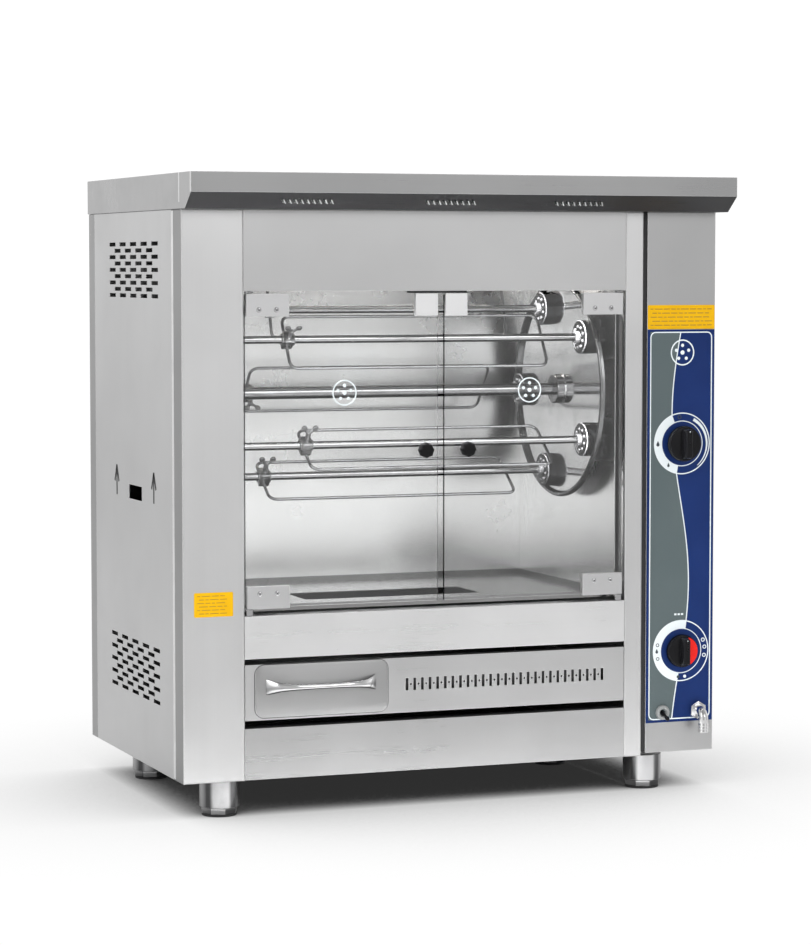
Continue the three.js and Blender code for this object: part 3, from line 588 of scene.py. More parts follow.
# ---- panels above and below the doors ----
# Three folded panels and the drawer front close the cabinet between the columns. Their grain runs level, and
# black strips fill the joints beside the columns as a painted shade in the gaps.
# the panels are one stainless sheet; their base tones differ part by part as painted light and shade, and
# the sill under the doors is set much lighter
panel_sheet = brushed_steel("level_stainless_sheet", level_grain, (0.56, 0.56, 0.562), 0.32, streaks=0.06)
low_panel_sheet = brushed_steel("plinth_stainless_sheet", level_grain, (0.52, 0.52, 0.522), 0.30,
                                streaks=0.05)
drawer_sheet = brushed_steel("drawer_stainless_sheet", level_grain, (0.60, 0.60, 0.602), 0.31, streaks=0.06)
dress(panel_sheet, "top_front_panel")
sill_sheet = brushed_steel("sill_stainless_sheet", level_grain, (0.84, 0.84, 0.842), 0.30, streaks=0.05)
dress(sill_sheet, "mid_front_panel")
dress(low_panel_sheet, "lower_front_panel")
dress(drawer_sheet, "drawer_front")
joint_shade_strips = bmesh.new()
for node in ("top_front_panel", "mid_front_panel", "lower_front_panel"):
    low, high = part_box(node)
    for edge, way in ((column_high.x, 1), (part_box("right_side_wall")[0].x, -1)):
        span = sorted((edge + way * 0.05 * mm, edge + way * 3 * mm))
        bevelled_block(joint_shade_strips, (span[0], column_low.y + 1.1 * mm, low.z + 2.6 * mm),
                       (span[1], column_low.y + 3 * mm, high.z - 2 * mm), 0.2 * mm, 1)
make_piece("panel_joint_shade_strips", joint_shade_strips, "cabinet", black_plastic_and_painted_shade)


# ---- cooking chamber ----
# The lining and the floor are bright rolled sheet, nearly a mirror, with faint marks of cooking and wiping;
# the floor's base tone is set much darker than the lining's, a painted shade.
def chamber_steel(name, metal, roughness):
    """Bright rolled sheet that has been heated and wiped."""
    made, tree, shader = new_material(name, metallic=1.0)
    grain = placed(tree, brushed_grain, Stretch=(9, 60, 9), Metal=(*metal, 1), Roughness=roughness,
                   Streaks=0.05)
    marks = placed(tree, handling_marks, Size=7.0)
    edges = placed(tree, rounded_edges, Radius=0.8 * mm)
    warm = tuple(part * tint for part, tint in zip(metal, (0.97, 0.96, 0.93)))
    connect(tree, shader.inputs["Base Color"],
            mixed(tree, maths(tree, "MULTIPLY", marks.outputs["Mask"], 0.06), grain.outputs["Colour"],
                  (*warm, 1)))
    connect(tree, shader.inputs["Roughness"],
            maths(tree, "ADD", grain.outputs["Roughness"],
                  maths(tree, "MULTIPLY", marks.outputs["Mask"], 0.006)))
    connect(tree, shader.inputs["Normal"], edges.outputs["Normal"])
    return made


lining_steel = chamber_steel("bright_lining_sheet", (0.95, 0.95, 0.95), 0.24)
floor_steel = chamber_steel("chamber_floor_sheet", (0.30, 0.30, 0.30), 0.2)
dress(lining_steel, "chamber_liner")
dress(floor_steel, "chamber_floor")
liner_low, liner_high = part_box("chamber_liner")
chamber_lamp = soft_lamp(
    "chamber_lamp", ((liner_low.x + liner_high.x) / 2, liner_low.y + 60 * mm, liner_high.z - 40 * mm),
    ((liner_low.x + liner_high.x) / 2, liner_high.y - 60 * mm, liner_low.z + 150 * mm), 0.55, 0.10, 26)
chamber_lamp.visible_glossy = False
wall_lamp = soft_lamp(
    "right_wall_lamp", (liner_high.x - 40 * mm, liner_low.y + 25 * mm, (liner_low.z + liner_high.z) / 2),
    (liner_high.x, liner_high.y - 160 * mm, (liner_low.z + liner_high.z) / 2), 0.04, 0.4, 2.5)
wall_lamp.visible_glossy = False


# ---- burner, gas pipe and valve ----
# A ceramic plaque burner under the chamber's top, fed by a steel pipe from the brass valve in the control
# box.


def build_burner_finish():
    """Porous ceramic inside the chamber, and drawn steel pipe outside it."""
    made, tree, shader = new_material("ceramic_burner_and_pipe", roughness=0.8)
    where = add_node(tree, "TexCoord").outputs["Object"]
    along = add_node(tree, "SeparateXYZ", Vector=where).outputs["X"]
    pipe = maths(tree, "GREATER_THAN", along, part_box("burner")[0].x + 612 * mm)
    pores = add_node(tree, "TexVoronoi", Vector=where, Scale=420.0)
    pore_tone = spread(tree, pores.outputs["Distance"], 0.1, 0.5, 0.35, 1.0)
    ceramic = mixed(tree, pore_tone, (0.20, 0.19, 0.18, 1), (0.66, 0.64, 0.61, 1))
    connect(tree, shader.inputs["Base Color"], mixed(tree, pipe, ceramic, (0.45, 0.45, 0.46, 1)))
    connect(tree, shader.inputs["Metallic"], pipe)
    connect(tree, shader.inputs["Roughness"], spread(tree, pipe, 0.0, 1.0, 0.85, 0.3))
    bump = add_node(tree, "Bump", Strength=0.4, Distance=0.0008, Height=pore_tone)
    connect(tree, shader.inputs["Normal"], bump.outputs["Normal"])
    return made


dress(build_burner_finish(), "burner")
brass = bright_metal("turned_brass", (0.62, 0.45, 0.18), 0.28, easing=0.6 * mm)
dress(brass, "gas_valve")
stem_steel = bright_metal("stem_steel", (0.6, 0.6, 0.61), 0.2)
dress(stem_steel, "gas_valve_stem")


# ---- geared motor and fixed sun gear ----
# The motor is bolted behind the side cover and turns the shaft; the sun gear is bolted to the right wall.
def build_cast_iron():
    """Grey cast iron with a sandy skin and oil in its hollows."""
    made, tree, shader = new_material("oiled_cast_iron", metallic=0.7)
    where = add_node(tree, "TexCoord").outputs["Object"]
    sand = add_node(tree, "TexNoise", Vector=where, Scale=380.0, Detail=5.0)
    oil = placed(tree, handling_marks, Size=30.0)
    iron = mixed(tree, sand.outputs["Fac"], (0.10, 0.10, 0.105, 1), (0.19, 0.19, 0.195, 1))
    connect(tree, shader.inputs["Base Color"],
            mixed(tree, oil.outputs["Mask"], iron, (0.07, 0.06, 0.05, 1)))
    connect(tree, shader.inputs["Roughness"], spread(tree, oil.outputs["Mask"], 0.0, 1.0, 0.62, 0.36))
    edges = placed(tree, rounded_edges, Radius=1.0 * mm)
    bump = add_node(tree, "Bump", Strength=0.35, Distance=0.0004, Height=sand.outputs["Fac"],
                    Normal=edges.outputs["Normal"])
    connect(tree, shader.inputs["Normal"], bump.outputs["Normal"])
    return made


cast_iron = build_cast_iron()
dress(cast_iron, "gear_motor", "sun_gear")


# ---- main shaft and carrier discs ----
# A ground stainless tube carries two polished discs. Each disc's rim is rolled over a wire, towards the
# spits, and its hub is clamped to the shaft by a set screw.
shaft_steel = bright_metal("ground_shaft", (0.62, 0.62, 0.63), 0.14, under=0.9)
mirror_steel = bright_metal("mirror_disc", (0.93, 0.93, 0.935), 0.10, smear=0.04)
# the rolled rim takes a darker copy of the disc steel, a painted shade
rim_steel = bright_metal("rolled_rim", (0.30, 0.30, 0.305), 0.12, under=0.6)
shaft_low, shaft_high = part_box("main_shaft")
shaft_radius = (shaft_high.z - shaft_low.z) / 2
axis_y = (shaft_low.y + shaft_high.y) / 2
axis_z = (shaft_low.z + shaft_high.z) / 2
rightward = (1, 0, 0)

shaft = bmesh.new()
spin_profile(shaft, [(0, shaft_low.x), (shaft_radius - 1 * mm, shaft_low.x),
                     (shaft_radius, shaft_low.x + 1 * mm),
                     (shaft_radius, shaft_high.x - 1 * mm), (shaft_radius - 1 * mm, shaft_high.x),
                     (0, shaft_high.x)],
             (0, axis_y, axis_z), rightward, steps=40)
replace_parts(make_piece("ground_main_shaft", shaft, "rotor", shaft_steel, slot="polished_steel"),
            "main_shaft")


def arc(centre, radius, start, end, points):
    """Points of an arc, as (radius, distance) pairs, between two angles in degrees."""
    steps = [math.radians(start + (end - start) * i / (points - 1)) for i in range(points)]
    return [(centre[0] + radius * math.cos(step), centre[1] + radius * math.sin(step)) for step in steps]


def carrier_disc(name, node, outer_face, inward):
    """A spun disc with a rolled rim and a hub; inward is +1 or -1 along X, towards the spits."""
    low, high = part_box(node)
    radius = (high.z - low.z) / 2
    bead = 4 * mm
    rim = [(r, inward * x) for r, x in arc((radius - bead, 10 * mm - bead), bead, -10, 200, 12)]
    hub = [(26 * mm, 2 * mm), (24 * mm, 4 * mm), (24 * mm, 14.5 * mm), (22.5 * mm, 16 * mm)]
    profile = [(shaft_radius, 0), (radius - 3 * mm, 0), (radius, inward * 2.5 * mm)] + rim
    profile += [(radius - 9 * mm, inward * 2.5 * mm), (radius - 12 * mm, inward * 2 * mm)]
    profile += [(r, inward * x) for r, x in hub] + [(shaft_radius, inward * 16 * mm), (shaft_radius, 0)]
    disc = bmesh.new()
    spin_profile(disc, profile, (outer_face, axis_y, axis_z), rightward, steps=96)
    made = make_piece(name, disc, "rotor", mirror_steel, rim_steel, shaft_steel, slot="polished_steel",
                      sharp=40)
    for face in made.data.polygons:
        reach = math.hypot(face.center.y - axis_y, face.center.z - axis_z)
        face.material_index = 1 if reach > radius - 10 * mm else 2 if reach < 24.1 * mm else 0
    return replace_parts(made, node)


left_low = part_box("left_carrier")[0]
right_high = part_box("right_carrier")[1]
carrier_disc("left_spun_carrier", "left_carrier", left_low.x, 1)
carrier_disc("right_spun_carrier", "right_carrier", right_high.x, -1)


# ---- spits and their sockets ----
# Each spit is a chromed steel rod. Its right end sits in a turned drum with a ring of studs; the drum's
# journal runs in the disc and its planet gear meshes with the sun gear behind the disc.
chrome = bright_metal("bright_chrome", (0.74, 0.74, 0.75), 0.09, under=0.95)
drum_steel = bright_metal("dark_polished_drum", (0.07, 0.07, 0.072), 0.2, under=0.6)
stud_steel = bright_metal("bright_stud_and_rim", (0.42, 0.42, 0.43), 0.2, under=0.7)
stud_steel.node_tree.nodes["Principled BSDF"].inputs["Metallic"].default_value = 0.8
gear_teeth = 12
pitch_radius = 32.63 * mm
# a tooth's corners in order round the gear: their radius, and their reach along the pitch circle
tooth_flank = [(27.4 * mm, -5.2 * mm), (36.6 * mm, -2.0 * mm), (36.6 * mm, 2.0 * mm), (27.4 * mm, 5.2 * mm)]
spit_count = 5
for number in range(1, spit_count + 1):
    low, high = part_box(f"spit_{number}")
    centre = (0, (low.y + high.y) / 2, (low.z + high.z) / 2)
    rod_radius = 6.25 * mm
    collar = left_low.x + 4 * mm
    spit = bmesh.new()
    spin_profile(spit,
                 [(0, low.x), (3 * mm, low.x), (rod_radius, low.x + 5 * mm), (rod_radius, high.x),
                  (0, high.x)],
                 centre, rightward, steps=24)
    spin_profile(spit, [(rod_radius, collar), (8.2 * mm, collar), (9 * mm, collar + 0.8 * mm),
                        (9 * mm, collar + 5.2 * mm), (8.2 * mm, collar + 6 * mm),
                        (rod_radius, collar + 6 * mm)],
                 centre, rightward, steps=24)
    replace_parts(make_piece(f"chromed_spit_{number}", spit, f"spit_{number}", chrome, slot="chrome_plate"),
                f"spit_{number}")

    low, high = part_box(f"spit_drive_{number}")
    face = low.x + 7 * mm
    drum_radius = 27.5 * mm
    drum = bmesh.new()
    rounded = [(r, x) for r, x in arc((drum_radius - 3 * mm, face + 3 * mm), 3 * mm, -90, 0, 6)]
    rounded += [(r, x) for r, x in arc((drum_radius - 2 * mm, face + 14.9 * mm), 2 * mm, 0, 90, 4)]
    spin_profile(drum, [(rod_radius, face), (12 * mm, face), (12.6 * mm, face + 0.8 * mm),
                        (21.6 * mm, face + 0.8 * mm), (22.2 * mm, face)] + rounded
                 + [(8 * mm, face + 16.9 * mm), (8 * mm, face + 21.5 * mm), (rod_radius, face + 21.5 * mm)],
                 centre, rightward, steps=48)
    teeth = bmesh.ops.create_circle(drum, cap_ends=True, segments=4 * gear_teeth, radius=1)["verts"]
    towards_spit = math.atan2(centre[2] - axis_z, centre[1] - axis_y)
    for index, vert in enumerate(teeth):
        crown, along = tooth_flank[index % 4]
        angle = towards_spit + 2 * math.pi * (index // 4 + 0.5) / gear_teeth + along / pitch_radius
        vert.co = (-crown * math.sin(angle), crown * math.cos(angle), 0)
    turn = Matrix.Translation((high.x - 10 * mm, centre[1], centre[2])) @ Matrix.Rotation(math.radians(90),
                                                                                          4, "Y")
    bmesh.ops.transform(drum, matrix=turn, verts=teeth)
    blank = list({side for vert in teeth for side in vert.link_faces})
    raise_faces(drum, blank, (10 * mm, 0, 0))
    studs = bmesh.new()
    spin_profile(studs, [(rod_radius, low.x), (9 * mm, low.x), (10 * mm, low.x + 1 * mm),
                         (10 * mm, face + 0.9 * mm),
                         (rod_radius, face + 0.9 * mm)], centre, rightward, steps=32)
    for stud in range(9):
        angle = 2 * math.pi * stud / 9
        spot = (face + 0.8 * mm, centre[1] + 17 * mm * math.cos(angle),
                centre[2] + 17 * mm * math.sin(angle))
        spin_profile(studs,
                     [(0, 2.6 * mm), (1.7 * mm, 2.1 * mm), (2.8 * mm, 0.8 * mm), (2.9 * mm, -0.3 * mm)],
                     spot, (-1, 0, 0), steps=10)
    socket = make_piece(f"turned_drum_{number}", drum, f"spit_{number}", drum_steel, stud_steel,
                        slot="chrome_plate")
    # painted highlight: the drum's rounded rim and a ring on its face take the bright stud metal
    for side in socket.data.polygons:
        reach = math.hypot(side.center.y - centre[1], side.center.z - centre[2])
        on_rim = 26 * mm < reach < 27.2 * mm and side.center.x < face + 3 * mm
        side.material_index = 1 if on_rim or 20.5 * mm < reach < 22.3 * mm else 0
    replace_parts(socket, f"spit_drive_{number}")
    make_piece(f"drum_hub_and_studs_{number}", studs, f"spit_{number}", stud_steel, slot="chrome_plate")


# ---- forks ----
# A fork is one chromed wire bent to a long loop, both ends held in a clamp block that slides on the spit.
# A wing screw with two round ears locks the block.
def run_wire(bm, corners, radius, bend, sides=12, bend_steps=6):
    """A round wire: straight runs extruded from a disc, and corners spun round each bend."""
    places = [Vector(corner) for corner in corners]
    heading = (places[1] - places[0]).normalized()
    start = Matrix.Translation(places[0]) @ heading.to_track_quat("Z", "Y").to_matrix().to_4x4()
    cap = bmesh.ops.create_circle(bm, cap_ends=True, segments=sides, radius=radius,
                                  matrix=start)["verts"][0].link_faces[0]
    at = places[0]
    for i in range(1, len(places)):
        bending = i < len(places) - 1
        setback = 0.0
        if bending:
            following = (places[i + 1] - places[i]).normalized()
            angle = heading.angle(following)
            setback = bend * math.tan(angle / 2)
        stop = places[i] - heading * setback
        grown = bmesh.ops.extrude_face_region(bm, geom=[cap])["geom"]
        cap = next(part for part in grown if isinstance(part, bmesh.types.BMFace))
        bmesh.ops.translate(bm, vec=stop - at, verts=cap.verts)
        at = stop
        if bending:
            axis = heading.cross(following).normalized()
            middle = stop + axis.cross(heading) * bend
            turned = bmesh.ops.spin(bm, geom=[cap], cent=middle, axis=axis, angle=angle,
                                    steps=bend_steps)["geom_last"]
            cap = next(part for part in turned if isinstance(part, bmesh.types.BMFace))
            at = places[i] + following * setback
            heading = following


fork_leans = [15, 31, 52, 54, -38]
fork_half_width = 46.5 * mm
fork_wire_radius = 2.5 * mm
fork_offset = 9.4 * mm
wire_chrome = bright_metal("wire_chrome", (0.52, 0.52, 0.53), 0.16)
clamp_steel = bright_metal("clamp_steel", (0.50, 0.50, 0.505), 0.24, easing=0.5 * mm)
for number in range(1, spit_count + 1):
    low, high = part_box(f"fork_{number}")
    spit_low, spit_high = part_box(f"spit_{number}")
    left = low.x + 14 * mm
    right = high.x - fork_wire_radius
    fork = bmesh.new()
    run_wire(fork, [(left, 4 * mm, -fork_offset), (left, fork_half_width, -fork_offset),
                    (right, fork_half_width, -fork_offset), (right, -fork_half_width, -fork_offset),
                    (left, -fork_half_width, -fork_offset), (left, -4 * mm, -fork_offset)],
             fork_wire_radius, 13 * mm)
    clamp = bmesh.new()
    bevelled_block(clamp, (left - 9 * mm, -11 * mm, -13 * mm), (left + 9 * mm, 11 * mm, 11 * mm), 2.5 * mm,
                   3)
    spin_profile(clamp,
                 [(7 * mm, -10.5 * mm), (9.5 * mm, -10.5 * mm), (9.5 * mm, 10.5 * mm), (7 * mm, 10.5 * mm)],
                 (left, 0, 0), rightward, steps=28)
    spin_profile(clamp, [(0, 40 * mm), (3.5 * mm, 39 * mm), (4 * mm, 34 * mm), (4 * mm, 22 * mm),
                         (5.4 * mm, 15 * mm),
                         (6.4 * mm, 11 * mm), (6.4 * mm, 9 * mm), (0, 9 * mm)], (left, 0, -12 * mm),
                 (0, 0, 1), steps=20)
    for way in (-1, 1):
        ear = (left + way * 9.2 * mm, 0, 35.6 * mm)
        spin_profile(clamp, [(0, -2 * mm), (3.8 * mm, -2 * mm), (4.7 * mm, -1.2 * mm), (4.7 * mm, 1.2 * mm),
                             (3.8 * mm, 2 * mm), (0, 2 * mm)], ear, (0, 1, 0), steps=20)
        arm = bmesh.ops.create_cone(clamp, cap_ends=True, segments=12, radius1=3.4 * mm, radius2=2.1 * mm,
                                    depth=13 * mm)["verts"]
        bmesh.ops.scale(clamp, vec=(1, 0.6, 1), verts=arm)
        bmesh.ops.rotate(clamp, matrix=Matrix.Rotation(math.radians(way * 40), 3, "Y"), verts=arm)
        bmesh.ops.translate(clamp, vec=(left + way * 4.6 * mm, 0, 30 * mm), verts=arm)
    lean = Matrix.Rotation(math.radians(90 - fork_leans[number - 1]), 4, "X")
    stand = Matrix.Translation((0, (spit_low.y + spit_high.y) / 2, (spit_low.z + spit_high.z) / 2))
    for bm in (fork, clamp):
        bmesh.ops.transform(bm, matrix=stand @ lean, verts=bm.verts)
    loop = make_piece(f"fork_wire_loop_{number}", fork, f"fork_{number}", wire_chrome, slot="chrome_plate")
    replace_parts(loop, f"fork_{number}")
    make_piece(f"fork_clamp_{number}", clamp, f"fork_{number}", clamp_steel, slot="chrome_plate")


# ---- glass doors ----
# Each door is one pane of toughened glass, clasped at its corners. The outer clips carry the hinge pins and
# are held by two screws; the inner top clip is the plate that the magnets in the catch bar hold.
def build_door_glass():
    """Clear toughened glass, faintly green, with wiping marks in its shine."""
    made, tree, shader = new_material("toughened_glass", roughness=0.0)
    marks = placed(tree, handling_marks, Size=9.0)
    shader.inputs["Base Color"].default_value = (0.985, 0.99, 0.988, 1)
    shader.inputs["Transmission Weight"].default_value = 1.0
    shader.inputs["IOR"].default_value = 1.46
    connect(tree, shader.inputs["Roughness"], maths(tree, "MULTIPLY", marks.outputs["Mask"], 0.003))
    return made


door_glass = build_door_glass()
clip_steel = brushed_steel("satin_clip", level_grain, (0.66, 0.66, 0.665), 0.36, streaks=0.05,
                           edge_light=0.85)
strike_chrome = brushed_steel("strike_plate_plating", level_grain, (0.86, 0.86, 0.865), 0.42, streaks=0.03)
knob_black = moulded_plastic("black_bakelite", (0.004, 0.004, 0.0045), 0.35)
knob_black.node_tree.nodes["Principled BSDF"].inputs["Specular IOR Level"].default_value = 0.12
for side in ("left", "right"):
    door = f"{side}_door"
    dress(door_glass, f"{side}_door_glass")
    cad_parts[f"{side}_door_glass"].visible_shadow = False
    dress(clip_steel, f"{side}_top_hinge", f"{side}_bottom_hinge")
    dress(strike_chrome, f"{side}_strike_plate")
    hinge_screws = bmesh.new()
    for node, up in ((f"{side}_top_hinge", 0.24), (f"{side}_bottom_hinge", 0.77)):
        low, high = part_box(node)
        for across in (0.29, 0.70):
            place = (low.x + across * (high.x - low.x), low.y, low.z + up * (high.z - low.z))
            pan_screw(hinge_screws, place, (0, -1, 0), radius=4.2 * mm)
    make_piece(f"{side}_hinge_screws", hinge_screws, door, screw_steel, black_plastic_and_painted_shade)

    low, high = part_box(f"{side}_bottom_hinge")
    pane_low, pane_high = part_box(f"{side}_door_glass")
    pin_x = pane_low.x + 7 * mm if side == "left" else pane_high.x - 7 * mm
    pin_y = (pane_low.y + pane_high.y) / 2
    sill_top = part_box("mid_front_panel")[1].z
    sleeves = bmesh.new()
    for start, end in ((sill_top, pane_low.z - 2.4 * mm),
                       (pane_high.z + 2.4 * mm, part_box("top_front_panel")[0].z)):
        spin_profile(sleeves, [(0, start + 0.3 * mm), (6 * mm, start + 0.3 * mm),
                               (6.5 * mm, start + 0.8 * mm),
                               (6.5 * mm, end - 0.8 * mm), (6 * mm, end - 0.3 * mm), (0, end - 0.3 * mm)],
                     (pin_x, pin_y, 0), (0, 0, 1), steps=28)
    make_piece(f"{side}_hinge_sleeves", sleeves, door, chrome, slot="chrome_plate")

    low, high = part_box(f"{side}_door_knob")
    knob_x, knob_z = (low.x + high.x) / 2, (low.z + high.z) / 2
    knob = bmesh.new()
    stem = pane_low.y - low.y
    skirt = [(0, stem), (7 * mm, stem), (10.4 * mm, stem - 1 * mm), (11.6 * mm, stem - 3 * mm),
             (11.6 * mm, 7.5 * mm),
             (9.5 * mm, 6 * mm), (5.5 * mm, 5.4 * mm), (5.5 * mm, 0.3 * mm), (0, 0.3 * mm)]
    spin_profile(knob, skirt, (knob_x, pane_low.y, knob_z), (0, -1, 0), steps=72)
    for vert in knob.verts:
        spoke = Vector((vert.co.x - knob_x, 0, vert.co.z - knob_z))
        if spoke.length > 9 * mm:
            lobes = 1 + 0.05 * math.cos(8 * math.atan2(spoke.z, spoke.x))
            vert.co.x, vert.co.z = knob_x + spoke.x * lobes, knob_z + spoke.z * lobes
    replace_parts(make_piece(f"{side}_lobed_knob", knob, door, knob_black, slot="black_plastic", sharp=50),
                f"{side}_door_knob")

catch_low, catch_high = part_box("left_strike_plate")[0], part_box("right_strike_plate")[1]
catch = bmesh.new()
bevelled_block(catch, (catch_low.x - 10 * mm, catch_low.y + 2.2 * mm, catch_high.z + 0.6 * mm),
               (catch_high.x, catch_high.y + 4 * mm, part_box("top_front_panel")[0].z - 0.1 * mm), 0.5 * mm)
make_piece("magnet_catch_bar", catch, "cabinet", black_plastic_and_painted_shade, slot="black_plastic")


# ---- white signs on the glass ----
# A plain sign is printed on each pane: a ring with five dots round a middle one, for the five spits.
def build_white_ink():
    """Opaque screen ink with a slightly uneven film."""
    made, tree, shader = new_material("white_screen_ink", roughness=0.45)
    where = add_node(tree, "TexCoord").outputs["Object"]
    film = add_node(tree, "TexNoise", Vector=where, Scale=500.0, Detail=3.0)
    connect(tree, shader.inputs["Base Color"],
            mixed(tree, film.outputs["Fac"], (0.66, 0.72, 0.74, 1), (0.78, 0.83, 0.85, 1)))
    connect(tree, shader.inputs["Roughness"], spread(tree, film.outputs["Fac"], 0.3, 0.7, 0.4, 0.5))
    return made


white_ink = build_white_ink()
towards_front = (0, -1, 0)


def printed_ring(bm, centre, outer, inner, film=0.15 * mm, steps=64):
    """A flat ring of ink, facing the front."""
    spin_profile(bm, [(inner, 0), (outer, 0), (outer, film), (inner, film), (inner, 0)], centre,
                 towards_front, steps=steps)


def printed_dot(bm, centre, radius, film=0.15 * mm):
    """A round dot of ink, facing the front."""
    spin_profile(bm, [(0, 0), (radius, 0), (radius, film), (0, film)], centre, towards_front, steps=20)


def spit_sign(bm, centre, radius):
    """The sign: a ring, a middle dot and one dot for each spit."""
    printed_ring(bm, centre, radius, 0.9 * radius)
    printed_dot(bm, centre, 0.17 * radius)
    for i in range(spit_count):
        angle = math.radians(90 + 72 * i)
        spot = (centre[0] + 0.55 * radius * math.cos(angle), centre[1],
                centre[2] + 0.55 * radius * math.sin(angle))
        printed_dot(bm, spot, 0.13 * radius)


for side, across in (("left", 0.51), ("right", 0.47)):
    low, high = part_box(f"{side}_door_glass")
    sign = bmesh.new()
    spit_sign(sign, (low.x + across * (high.x - low.x), low.y, high.z - 151 * mm), 20 * mm)
    make_piece(f"{side}_glass_sign", sign, f"{side}_door", white_ink)


# ---- drawer plate and bow handle ----
# A pressed plate with round corners stiffens the drawer front behind a chromed bow handle, whose ends
# are flared feet and whose middle is waisted.
drawer_low, drawer_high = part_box("drawer_front")


def rounded_outline(bm, low, high, radius, y, corner_points=6):
    """The vertices of a rounded rectangle in (x, z), in order."""
    corners = [(high[0] - radius, high[1] - radius, 0), (low[0] + radius, high[1] - radius, 90),
               (low[0] + radius, low[1] + radius, 180), (high[0] - radius, low[1] + radius, 270)]
    verts = []
    for x, z, start in corners:
        for px, pz in arc((x, z), radius, start, start + 90, corner_points):
            verts.append(bm.verts.new((px, y, pz)))
    return verts


plate = bmesh.new()
plate_low = (drawer_low.x + 15.5 * mm, drawer_low.z + 3.6 * mm)
plate_high = (drawer_low.x + 234.5 * mm, drawer_high.z - 1 * mm)
plate_face = plate.faces.new(rounded_outline(plate, plate_low, plate_high, 15 * mm, drawer_low.y))
step = bmesh.ops.extrude_face_region(plate, geom=[plate_face])["geom"]
plate_front = next(part for part in step if isinstance(part, bmesh.types.BMFace))
bmesh.ops.translate(plate, vec=(0, -0.9 * mm, 0), verts=plate_front.verts)
bmesh.ops.inset_region(plate, faces=[plate_front], thickness=1.4 * mm, depth=0.5 * mm)
plate_sheet = brushed_steel("pressed_plate_sheet", level_grain, (0.43, 0.43, 0.432), 0.34, streaks=0.06)
make_piece("pressed_handle_plate", plate, "drawer", plate_sheet, slot="stainless")
# a thin black line round the plate is a painted shadow of its raised edge
plate_shadow_line = bmesh.new()
margin = 0.9 * mm
plate_shadow_face = plate_shadow_line.faces.new(rounded_outline(
    plate_shadow_line, tuple(edge - margin for edge in plate_low), tuple(edge + margin for edge in plate_high),
    15.9 * mm, drawer_low.y))
raise_faces(plate_shadow_line, [plate_shadow_face], (0, -0.2 * mm, 0))
make_piece("plate_edge_shadow", plate_shadow_line, "drawer", black_plastic_and_painted_shade)

# black silicone strips lie on the flanges that the drawer closes against
strips = bmesh.new()
plinth_low, plinth_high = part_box("lower_front_panel")
bevelled_block(strips, (plinth_low.x + 1 * mm, plinth_low.y + 1.2 * mm, plinth_high.z),
               (plinth_high.x - 1 * mm, plinth_high.y, plinth_high.z + 1.2 * mm), 0.4 * mm)
make_piece("plinth_seal_strip", strips, "cabinet", black_plastic_and_painted_shade, slot="black_plastic")
strips = bmesh.new()
bevelled_block(strips, (drawer_low.x + 1 * mm, drawer_low.y + 1.2 * mm, drawer_high.z),
               (drawer_high.x - 1 * mm, drawer_high.y, drawer_high.z + 1.2 * mm), 0.4 * mm)
make_piece("drawer_seal_strip", strips, "drawer", black_plastic_and_painted_shade, slot="black_plastic")

handle_low, handle_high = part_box("drawer_handle")
handle_z = (handle_low.z + handle_high.z) / 2
half_length = (handle_high.x - handle_low.x) / 2
handle_middle = (handle_low.x + handle_high.x) / 2
foot_half = (handle_high.z - handle_low.z) / 2 - 0.2 * mm
# stations along half of the handle: share of the half length, reach to the front, half height, half depth
stations = [(0.985, 2.0, 1.0, 1.2), (0.95, 4.5, 0.96, 2.6), (0.88, 9.5, 0.80, 3.6), (0.78, 15.5, 0.60, 4.0),
            (0.62, 20.0, 0.45, 3.8), (0.42, 22.4, 0.37, 3.6), (0.2, 23.2, 0.34, 3.5),
            (0.0, 23.3, 0.33, 3.5)]
handle = bmesh.new()
rings = []
for way in (-1, 1):
    order = stations if way < 0 else list(reversed(stations))[1:]
    for share, reach, tall, deep in order:
        ring = bmesh.ops.create_circle(handle, cap_ends=False, segments=24, radius=1)["verts"]
        bmesh.ops.scale(handle, vec=(deep * mm, tall * foot_half, 1), verts=ring)
        upright_ring = Matrix(((0, 0, 1, 0), (1, 0, 0, 0), (0, 1, 0, 0), (0, 0, 0, 1)))
        slope = Matrix.Rotation(math.radians(way * 55 * share ** 3), 4, "Z")
        spot = Matrix.Translation((handle_middle + way * share * half_length, drawer_low.y - reach * mm,
                                   handle_z))
        bmesh.ops.transform(handle, matrix=spot @ slope @ upright_ring, verts=ring)
        rings.append(list({edge for vert in ring for edge in vert.link_edges}))
for first, second in zip(rings, rings[1:]):
    bmesh.ops.bridge_loops(handle, edges=first + second)
bmesh.ops.holes_fill(handle, edges=rings[0] + rings[-1], sides=0)
handle_chrome = bright_metal("handle_chrome", (0.90, 0.90, 0.905), 0.08, under=0.97)
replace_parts(make_piece("chromed_bow_handle", handle, "drawer", handle_chrome, slot="chrome_plate",
                       sharp=60),
            "drawer_handle")


